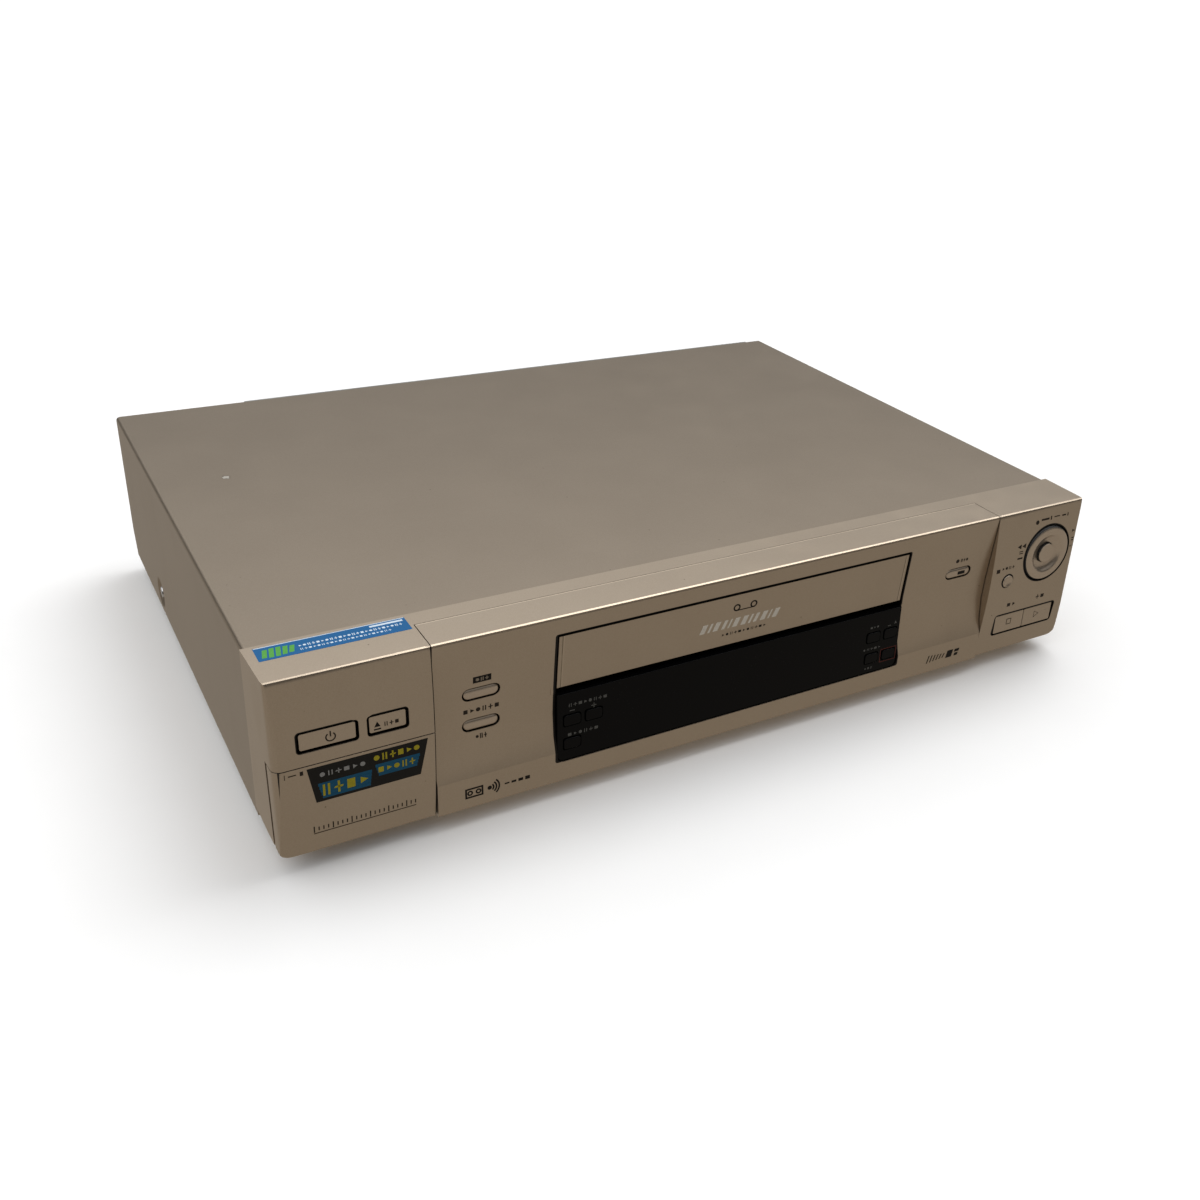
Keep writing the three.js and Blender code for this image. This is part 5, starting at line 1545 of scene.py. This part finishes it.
@dataclass(frozen=True)
class Lathed:
    """A finely turned piece on a front-to-back axis, in the place of a coarser CAD node.

    Its outer side is black from a set depth on, as painted shade.
    """

    node: str
    profile: tuple[Point, ...]
    closed: bool
    # Depth behind the front where the outer side's painted shade starts
    shade_start: float = 0.5
    side_share: float = 0.7
    steps: int = 96

    def build(self) -> None:
        """Builds the piece. The profile's points are radius and depth behind the node's front."""
        low, high = box_of(self.node)
        middle = (low + high) / 2
        rings = []
        for radius, depth in self.profile:
            outline = disc(middle.x, middle.z, radius, self.steps)
            rings.append([Vector((x, low.y + depth, z)) for x, z in outline])
        mesh = joined_rings(rings, self.closed)
        piece = add_piece(f"{self.node}_turned", mesh, RING_LACQUER, self.node)
        # Faces of the outer side further back than that depth get black moulding as painted shade
        piece.data.materials.append(BLACK_MOULDED.material())
        widest = max(radius for radius, _ in self.profile)
        for face in piece.data.polygons:
            spot = face.center / MM
            off = math.hypot(spot.x - middle.x, spot.z - middle.z)
            if off > widest * self.side_share and spot.y - low.y > self.shade_start:
                face.material_index = 1
        shade(piece)
        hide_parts(self.node)


# The scene


@dataclass
class Casing:
    """The folded cover, the base, the rear panel, the feet and the screws."""

    feet: tuple[str, ...] = ("foot_front_left", "foot_front_right", "foot_rear_left", "foot_rear_right")
    screws: tuple[str, ...] = ("screw_side_left", "screw_side_right", "screw_rear_left", "screw_rear_right")

    def build(self) -> None:
        """Dresses the casing."""
        dress(COVER_LACQUER, Edge.SHEET, "top_cover")
        dress(ZINC, Edge.SHEET, "base_pan", "rear_panel")
        dress(RUBBER, Edge.SOFT, *self.feet)
        dress(BRIGHT, Edge.SHEET, *self.screws)


@dataclass
class Fascia:
    """The hollow middle fascia with its plain signs beside the oval keys and on the lip."""

    box: Shapes = (bar(-127.3, 70.6, 8.0, 3.1),)
    box_signs: Shapes = signs(-130.4, -124.2, 70.6, 1.8, 3, Sign.DOT, 0.24)
    over_lower_key: Shapes = signs(-135.8, -119.2, 55.4, 2.5, 6)
    under_lower_key: Shapes = signs(-130.4, -124.8, 41.9, 2.4, 3, Sign.DOT)
    record_dot: Shapes = (disc(130.8, 70.9, 1.1),)
    record_signs: Shapes = signs(132.6, 138.0, 70.9, 1.9, 3, Sign.TWO_BARS)
    cassette: Shapes = drawn_box(-132.6, 16.4, 8.2, 5.0, 0.8)
    cassette_reels: Shapes = arc(-134.5, 16.4, 1.3, 0.7) + arc(-130.7, 16.4, 1.3, 0.7)
    waves_middle: Point = (-125.6, 16.4)
    waves_dot: float = 1.0
    waves_radii: tuple[float, ...] = (2.2, 3.5, 4.8)
    waves_stroke: float = 0.75
    waves_spread: float = 48
    dashes: Shapes = bars((-117.6, 16.2, 2.2, 0.7), (3.2, 0, 0, 0.35), 4)
    leaning: Shapes = bars((119.4, 16.6, 0.7, 4.4), (2.1, 0, 0, -0.4), 6, slant=0.6)
    blocks: Shapes = (
        bar(134.2, 16.6, 4.0, 4.2, 0.5),
        bar(139.2, 17.7, 3.2, 1.6, 0.2),
        bar(138.9, 15.4, 2.4, 1.6, 0.2),
    )
    sign_lift: float = 0.08

    def build(self) -> None:
        """Dresses the fascia, and prints on it."""
        dress(FASCIA_LACQUER, Edge.MOULDED, "centre_fascia", fold=CREASE_FOLD)
        Mark("oval_upper_box", "centre_fascia", DARK_INK).lay(self.box)
        Mark("oval_upper_sign", "centre_fascia", BUFF_INK, lift=self.sign_lift).lay(self.box_signs)
        Mark("oval_lower_signs", "centre_fascia", SOFT_INK).lay(self.over_lower_key, self.under_lower_key)
        Mark("record_sign", "centre_fascia", SOFT_INK).lay(self.record_dot, self.record_signs)
        lip = (self.cassette, self.cassette_reels, self._waves(), self.dashes)
        Mark("lip_signs_left", "centre_fascia", DARK_INK).lay(*lip)
        Mark("lip_signs_right", "centre_fascia", DARK_INK).lay(self.leaning, self.blocks)

    def _waves(self) -> Shapes:
        """A dot that sends out sound waves to the right.

        Returns:
            Its shapes.
        """
        x, z = self.waves_middle
        shapes: Shapes = (disc(x, z, self.waves_dot),)
        for radius in self.waves_radii:
            shapes += arc(x, z, radius, self.waves_stroke, -self.waves_spread, self.waves_spread)
        return shapes


@dataclass
class Flap:
    """The cassette flap with a plain pattern: two reels, slanted bars and a row of small signs."""

    reels: Shapes = arc(-3.4, 75.0, 1.9, 0.75) + arc(5.8, 75.0, 1.9, 0.75)
    tape: Shapes = (bar(1.2, 73.4, 9.2, 0.5),)
    bars_left: float = -21.5
    bars_level: float = 67.0
    bars_height: float = 4.6
    bars_slant: float = 0.9
    bar_widths: tuple[float, ...] = (2.6, 1.2, 2.6, 1.8, 0.9, 2.6, 2.6, 1.2, 1.8, 2.6, 0.9, 2.6)
    bar_gap: float = 1.6
    wide_gap: float = 2.0
    group: int = 3
    small_signs: Shapes = signs(-10.4, 14.8, 61.4, 1.5, 11, Sign.TRIANGLE)

    def build(self) -> None:
        """Dresses the flap, and prints on it."""
        dress(FLAP_LACQUER, Edge.MOULDED, "cassette_flap")
        Mark("flap_reels", "cassette_flap", DARK_INK).lay(self.reels, self.tape)
        Mark("flap_bars", "cassette_flap", PALE_INK).lay(self._slanted())
        Mark("flap_dashes", "cassette_flap", DARK_INK).lay(self.small_signs)

    def _slanted(self) -> Shapes:
        """Slanted bars in groups, with a wider gap after each group.

        Returns:
            The bars.
        """
        shapes: list[Outline] = []
        x = self.bars_left
        for place, width in enumerate(self.bar_widths, start=1):
            shapes.append(bar(x + width / 2, self.bars_level, width, self.bars_height, self.bars_slant))
            x += width + (self.bar_gap if place % self.group else self.wide_gap)
        return tuple(shapes)


@dataclass
class Window:
    """The black window with its small keys and their signs, and the display behind it."""

    lens_keys: tuple[str, ...] = (
        "left_lower",
        "left_upper",
        "left_inner",
        "right_lower",
        "right_upper",
        "right_outer_lower",
        "right_outer_upper",
    )
    left_signs: Shapes = signs(-88.4, -69.0, 46.4, 1.7, 8, Sign.TWO_BARS) + signs(-88.8, -73.2, 31.6, 1.7, 6)
    minus: Shapes = (bar(-86.3, 43.6, 2.4, 0.4),)
    plus: Shapes = (bar(-75.7, 43.4, 2.4, 0.4), bar(-75.7, 43.4, 0.4, 2.4))
    right_upper_signs: Shapes = signs(78.0, 84.0, 44.6, 1.3, 3)
    right_middle_signs: Shapes = signs(74.6, 86.4, 32.6, 1.3, 5, Sign.DOT)
    right_lower_signs: Shapes = signs(76.8, 82.4, 21.6, 1.3, 3, Sign.TRIANGLE)
    outer_signs: Shapes = (bar(90.4, 43.4, 2.0, 0.4), arrow(94.2, 44.4, 1.0, 90))
    record_line: Shapes = drawn_box(91.5, 26.9, 10.4, 7.6, 0.45)
    lift: float = 0.03

    def build(self) -> None:
        """Dresses the window and what is behind it, and prints beside the keys."""
        dress(BLACK_ACRYLIC, Edge.FINE, "display_lens")
        dress(BLACK_ACRYLIC, Edge.FINE, *(f"lens_key_{key}" for key in self.lens_keys))
        dress(SMOKED, Edge.FINE, "display_tube")
        right = self.right_upper_signs + self.right_middle_signs + self.right_lower_signs
        printed = (self.left_signs, self.minus, self.plus, right, self.outer_signs)
        Mark("lens_signs", "display_lens", GREY_INK, lift=self.lift).lay(*printed)
        Mark("lens_record_line", "display_lens", RED_INK, lift=self.lift).lay(self.record_line)


@dataclass
class Door:
    """The door with its label of plain coloured blocks, a pull sign and a fine scale."""

    label_top: float = 51.0
    label_bottom: float = 33.9
    label_sides: tuple[Point, Point] = ((-201.2, -198.4), (-152.4, -155.8))
    label_rows: int = 10
    blue_left: Shapes = bars((-186.6, 42.2, 21.4, 1.5), (0.1, -1.55, -0.55, 0), 5)
    blue_right: Shapes = bars((-165.2, 44.0, 18.4, 1.45), (0, -1.5, -0.8, 0), 4)
    yellow_low: Shapes = signs(-196.6, -177.0, 39.2, 5.6, 4, Sign.TWO_BARS, 0.16)
    yellow_beside: Shapes = signs(-173.8, -157.6, 41.8, 3.2, 5, Sign.BLOCK, 0.18)
    yellow_high: Shapes = signs(-175.4, -155.6, 47.9, 3.3, 6, Sign.DOT)
    grey: Shapes = signs(-197.0, -177.8, 46.9, 2.3, 6, Sign.DOT)
    pull: Shapes = (arrow(-210.4, 49.8, 1.5, 180), bar(-206.8, 49.8, 3.0, 0.5), bar(-203.2, 49.8, 1.3, 1.9))
    tick_start: Point = (-200.0, 20.4)
    tick_pitch: float = 1.9
    tick_width: float = 0.5
    tick_height: float = 1.9
    long_tick: float = 3.2
    ticks: int = 23
    ticks_in_group: int = 4
    base_line: Shapes = (bar(-179.1, 18.2, 42.3, 0.4),)

    def build(self) -> None:
        """Dresses the door and the sockets behind it, lays the label and prints the scale."""
        dress(DOOR_LACQUER, Edge.MOULDED, "av_door")
        dress(FRONT_SOCKETS, Edge.FINE, "front_jack_block")
        Mark("door_label", "av_door", FILM_BLACK, lift=0.08).lay(self._label())
        Mark("door_label_blue", "av_door", FILM_BLUE, lift=0.1).lay(self.blue_left, self.blue_right)
        yellow = (self.yellow_low, self.yellow_beside, self.yellow_high)
        Mark("door_label_yellow", "av_door", FILM_YELLOW, lift=0.13).lay(*yellow)
        Mark("door_label_grey", "av_door", FILM_GREY, lift=0.12).lay(self.grey)
        Mark("door_pull_sign", "av_door", SOFT_INK).lay(self.pull)
        Mark("door_scale", "av_door", SOFT_INK).lay(self._ticks(), self.base_line)

    def _label(self) -> Shapes:
        """The label's tapering outline, cut in rows so that it follows the curved door.

        Returns:
            The rows, from the top down.
        """
        height = self.label_top - self.label_bottom
        levels = []
        for row in range(self.label_rows + 1):
            share = row / self.label_rows
            z = self.label_top - height * share
            levels.append([(top + (bottom - top) * share, z) for top, bottom in self.label_sides])
        return tuple([*below, *reversed(above)] for above, below in zip(levels, levels[1:]))

    def _ticks(self) -> Shapes:
        """The scale's ticks, the first of each group a long one.

        Returns:
            The ticks.
        """
        left, z = self.tick_start
        heights = [self.tick_height] * self.ticks
        heights[:: self.ticks_in_group] = [self.long_tick] * len(heights[:: self.ticks_in_group])
        return tuple(
            bar(left + self.tick_pitch * step, z, self.tick_width, height)
            for step, height in enumerate(heights)
        )


@dataclass
class Bezel:
    """The front moulding with its strip label and the plain signs round the dial and the keys."""

    strip: Shapes = (bar(-180.6, -137.7, 60.2, 10.6),)
    strip_upper_row: Shapes = signs(-194.6, -152.6, -137.2, 1.7, 24, Sign.TRIANGLE)
    strip_lower_row: Shapes = signs(-194.6, -158.0, -140.0, 1.3, 22, Sign.TWO_BARS)
    strip_edge: Shapes = (bar(-180.6, -132.7, 59.6, 0.4), bar(-158.6, -134.4, 13.6, 1.3))
    green_start: Point = (-207.4, -138.0)
    green_pitch: float = 2.6
    green_width: float = 1.9
    green_height: float = 7.4
    green_taper: float = 0.9
    green_tallest: float = 1.5
    green_slant: float = 0.7
    green_count: int = 5
    left_of_dial: Shapes = (
        bar(172.4, 65.4, 3.6, 1.0),
        arrow(171.2, 72.2, 1.7, 180),
        arrow(174.4, 72.2, 1.7, 180),
    )
    right_of_dial: Shapes = (
        bar(210.2, 65.6, 2.2, 1.0),
        arrow(209.6, 74.6, 1.1, 0),
        arrow(211.4, 74.6, 1.1, 0),
    )
    over_dial: Shapes = (
        disc(181.6, 84.0, 1.2),
        bar(187.2, 84.9, 5.6, 1.1),
        bar(191.4, 85.0, 0.8, 2.2),
        bar(195.6, 85.2, 4.0, 0.6),
        bar(200.8, 85.0, 2.8, 0.9),
        bar(203.6, 85.0, 0.7, 1.8),
    )
    round_key_block: Shapes = (bar(158.2, 60.6, 2.4, 2.2),)
    round_key_signs: Shapes = signs(160.4, 169.8, 61.4, 1.8, 4, Sign.TRIANGLE)
    stop_signs: Shapes = signs(169.4, 176.4, 37.9, 2.5, 2)
    play_signs: Shapes = signs(190.6, 197.6, 38.2, 2.6, 2, Sign.PLUS)
    left_ticks: Shapes = bars((172.6, 68.2, 2.6, 0.5), (0, 1.1, 0, 0), 2)
    right_ticks: Shapes = bars((210.2, 69.0, 1.8, 0.6), (0, 1.3, 0, 0), 2)

    def build(self) -> None:
        """Dresses the moulding, lays the strip label on its top and prints on the right panel."""
        dress(FRONT_LACQUER, Edge.MOULDED, "front_bezel")
        Mark("strip", "front_bezel", STRIP_BLUE, Side.ABOVE, 0.03).lay(self.strip)
        white = (self.strip_upper_row, self.strip_lower_row, self.strip_edge)
        Mark("strip_white", "front_bezel", STRIP_WHITE, Side.ABOVE, 0.05).lay(*white)
        Mark("strip_green", "front_bezel", STRIP_GREEN, Side.ABOVE, 0.045).lay(self._green_bars())
        dial = (self.left_of_dial, self.right_of_dial, self.over_dial)
        keys = (self.round_key_block, self.round_key_signs, self.stop_signs, self.play_signs)
        Mark("dial_signs", "front_bezel", SOFT_INK).lay(*dial, *keys)
        Mark("dial_ticks", "front_bezel", SOFT_INK).lay(self.left_ticks, self.right_ticks)

    def _green_bars(self) -> Shapes:
        """The strip's leaning green bars, tallest near the left.

        Returns:
            The bars.
        """
        left, along = self.green_start
        shapes = []
        for place in range(self.green_count):
            x = left + self.green_pitch * place
            height = self.green_height - self.green_taper * abs(place - self.green_tallest)
            shapes.append(bar(x, along, self.green_width, height, self.green_slant))
        return tuple(shapes)


@dataclass
class Keys:
    """The lacquered keys and the shuttle ring."""

    panel_keys: tuple[str, ...] = ("power_button", "eject_button", "stop_button", "play_button")
    oval_keys: tuple[str, ...] = ("upper_oval_button", "lower_oval_button", "record_button")
    ring_profile: tuple[Point, ...] = (
        (5.8, 8.7), (5.8, 2.1), (6.3, 2.0), (7.6, 1.85), (8.8, 1.45), (9.7, 0.9), (10.3, 0.4), (10.8, 0.12),
        (11.4, 0.0), (13.6, 0.05), (14.3, 0.16), (14.9, 0.42), (15.3, 0.85), (15.5, 1.5), (15.5, 4.4),
        (7.6, 4.4), (7.6, 8.7),
    )
    round_profile: tuple[Point, ...] = (
        (0.02, 0.62), (1.2, 0.58), (2.1, 0.4), (2.7, 0.12), (3.0, 0.0), (3.25, 0.06), (3.45, 0.3),
        (3.5, 0.7), (3.5, 3.5), (4.56, 3.5), (4.56, 4.7), (0.02, 4.7),
    )
    button_profile: tuple[Point, ...] = (
        (0.02, 0.42), (2.0, 0.38), (3.8, 0.24), (4.7, 0.1), (5.1, 0.12), (5.35, 0.36), (5.45, 0.8),
        (5.45, 9.3), (0.02, 9.3),
    )
    power_sign: Shapes = (*arc(-190.8, 62.8, 2.1, 0.55, 125, 415), bar(-190.8, 64.2, 0.55, 2.4))
    eject_sign: Shapes = (arrow(-172.4, 62.8, 1.5, 90), bar(-172.4, 60.8, 2.9, 0.6))
    eject_signs: Shapes = signs(-170.0, -163.4, 62.4, 2.0, 3, Sign.TWO_BARS)
    record_dash: Shapes = bars((134.8, 63.0, 4.4, 0.4), (0, 0.4, 0, 0), 4)
    record_lift: float = 0.22
    stop_sign: Shapes = drawn_box(174.9, 26.4, 3.4, 3.4, 0.35)
    play_sign: Shapes = drawn_triangle(((193.6, 24.4), (193.6, 28.4), (197.3, 26.4)), 0.35)
    nib: Point = (202.5, 27.2)
    nib_radius: float = 0.55
    nib_sunk: float = 0.25

    def build(self) -> None:
        """Dresses the keys and prints their plain signs."""
        dress(PANEL_KEY_LACQUER, Edge.MOULDED, *self.panel_keys)
        for node in self.oval_keys:
            BarrelKey(node).build()
        # The turned pieces' outer sides get black painted shade from a depth behind their fronts
        Lathed("round_button", self.round_profile, closed=False, shade_start=0.4, steps=48).build()
        Lathed("shuttle_ring", self.ring_profile, closed=True).build()
        Lathed("pause_button", self.button_profile, closed=False).build()
        Mark("power_sign", "power_button", SOFT_INK).lay(self.power_sign)
        Mark("eject_sign", "eject_button", DARK_INK).lay(self.eject_sign)
        Mark("eject_dashes", "eject_button", SOFT_INK).lay(self.eject_signs)
        Mark("record_dash", "record_button_barrel", DARK_INK, lift=self.record_lift).lay(self.record_dash)
        Mark("stop_sign", "stop_button", SOFT_INK).lay(self.stop_sign)
        Mark("play_sign", "play_button", SOFT_INK).lay(self.play_sign)
        self.add_nib()

    def add_nib(self) -> None:
        """Adds the raised dot that a finger finds on the play key."""
        spot = surface_spot("play_button", Side.FRONT, self.nib)
        mesh = bmesh.new()
        bmesh.ops.create_uvsphere(mesh, u_segments=16, v_segments=10, radius=self.nib_radius * MM)
        bmesh.ops.translate(mesh, verts=mesh.verts, vec=spot + Vector((0, self.nib_sunk * MM, 0)))
        for face in mesh.faces:
            face.smooth = True
        add_piece("play_nib", mesh, RING_LACQUER, "play_button")


@dataclass
class Inside:
    """The tape deck, the boards and the rear connections."""

    def build(self) -> None:
        """Dresses what is inside and behind."""
        dress(ZINC, Edge.SHEET, "deck_frame", "rail_left", "rail_right", "cassette_carriage")
        dress(ZINC, Edge.SHEET, "capstan_motor", "pinch_arm", "loading_motor", "tuner_can")
        dress(BRIGHT, Edge.SHEET, "lower_drum", "upper_drum", "audio_head", "erase_head", "capstan")
        dress(BRIGHT, Edge.SHEET, "guide_sled_left", "guide_sled_right")
        dress(BLACK_MOULDED, Edge.SHEET, "slider_left", "slider_right", "supply_reel", "takeup_reel")
        dress(REAR_SOCKETS, Edge.FINE, "rear_jack_block")
        dress(BLACK_MOULDED, Edge.FINE, "mains_inlet")
        dress(RUBBER, Edge.SHEET, "pinch_roller")
        dress(BOARD, Edge.SHEET, "main_board", "power_board", "front_board")


@dataclass(frozen=True)
class Lamp:
    """A broad, soft lamp: the way it is turned, its strength, and how wide it is, in degrees."""

    name: str
    turn: tuple[float, ...]
    strength: float
    spread: float

    def hang(self) -> None:
        """Hangs the lamp."""
        data = bpy.data.lights.new(self.name, "SUN")
        data.energy = self.strength
        data.angle = math.radians(self.spread)
        lamp = bpy.data.objects.new(self.name, data)
        lamp.rotation_euler = tuple(math.radians(angle) for angle in self.turn)
        bpy.context.scene.collection.objects.link(lamp)


@dataclass
class Studio:
    """The camera, the lamps, the pale floor and the white surround."""

    camera_place: Vector = field(default_factory=lambda: Vector((-0.2932, -0.5695, 0.3441)))
    camera_turn: tuple[float, ...] = (63.268, -3.342, -31.252)
    lens: float = 37.634
    shift_x: float = -0.0807
    shift_y: float = -0.0224
    floor_size: float = 40.0
    pale_floor: tuple[Colour, Colour] = (tone(249, 249, 249), tone(252, 252, 252))
    hidden_floor: Colour = tone(20, 20, 20)
    bounce: Colour = tone(162, 154, 143)
    sky_low: float = 0.06
    sky_high: float = 1.1
    sky_rise: Point = (0.26, 0.58)
    sky_front: float = 0.3
    sky_turn: Point = (-0.75, 0.1)
    lamps: tuple[Lamp, ...] = (
        Lamp("key_lamp", turn=(-28, 0, -72), strength=1.0, spread=40),
        Lamp("fill_lamp", turn=(40, 0, -78), strength=0.5, spread=70),
    )

    def build(self) -> None:
        """Sets up the whole studio."""
        self.add_camera()
        self.add_floor()
        for lamp in self.lamps:
            lamp.hang()
        self.light_world()
        bpy.context.scene.view_settings.view_transform = "Standard"
        log.info("studio")

    def add_camera(self) -> None:
        """Puts the camera where the photograph's was."""
        data = bpy.data.cameras.new("camera")
        data.lens = self.lens
        data.shift_x = self.shift_x
        data.shift_y = self.shift_y
        data.clip_end = 2 * self.floor_size
        camera = bpy.data.objects.new("camera", data)
        camera.location = self.camera_place
        camera.rotation_euler = tuple(math.radians(turn) for turn in self.camera_turn)
        bpy.context.scene.collection.objects.link(camera)
        bpy.context.scene.camera = camera

    def add_floor(self) -> None:
        """Lays a pale floor that keeps the recorder's shadow."""
        half = self.floor_size / 2
        mesh = bpy.data.meshes.new("floor")
        corners = [(-half, -half, 0), (half, -half, 0), (half, half, 0), (-half, half, 0)]
        mesh.from_pydata(corners, [], [(0, 1, 2, 3)])
        floor = bpy.data.objects.new("floor", mesh)
        material = bpy.data.materials.new("pale_floor")
        material.use_nodes = True
        sheet = Sheet(material.node_tree)
        grain = sheet.cloud(30, 3)
        shown = self._shown(sheet)
        sheet.finish(
            base_color=sheet.mix(shown, self.hidden_floor, sheet.mix(grain, *self.pale_floor)),
            emission_color=sheet.mix(shown, self.bounce, BLACK),
            emission_strength=1.0,
            roughness=0.9,
        )
        mesh.materials.append(material)
        bpy.context.scene.collection.objects.link(floor)

    def light_world(self) -> None:
        """Lights the scene by a plain sky, brighter overhead and behind, and shows a white surround."""
        world = bpy.data.worlds.new("surround")
        world.use_nodes = True
        bpy.context.scene.world = world
        sheet = Sheet(world.node_tree, "Background")
        aim = sheet.node("ShaderNodeTexCoord", {}, {})
        parts = sheet.node("ShaderNodeSeparateXYZ", {}, {0: aim.outputs["Generated"]})
        along, up = (Reading(sheet, parts.outputs[name]) for name in ("Y", "Z"))
        overhead = up.rise(*self.sky_rise, self.sky_low, self.sky_high)
        sky = overhead * along.rise(*self.sky_turn, self.sky_front, 1.0)
        strength = sheet.node("ShaderNodeMix", {}, {0: self._shown(sheet), 2: sky, 3: 1.0})
        sheet.finish(color=WHITE, strength=strength.outputs[0])

    def _shown(self, sheet: Sheet) -> Reading:
        """1 where the camera sees the floor or the sky itself, also through glass, and not their light.

        Args:
            sheet: The sheet to build on.

        Returns:
            The share, 0 or 1.
        """
        path = sheet.node("ShaderNodeLightPath", {}, {})
        seen, through = (Reading(sheet, path.outputs[f"Is {ray} Ray"]) for ray in ("Camera", "Transmission"))
        return seen.most(through)


def main() -> None:
    """Builds the studio and dresses every sub-assembly in turn."""
    logging.basicConfig(level=logging.INFO, format="%(name)s %(message)s")
    for assembly in (Studio(), Casing(), Bezel(), Door(), Fascia(), Flap(), Window(), Keys(), Inside()):
        assembly.build()


if __name__ == "__main__":
    main()
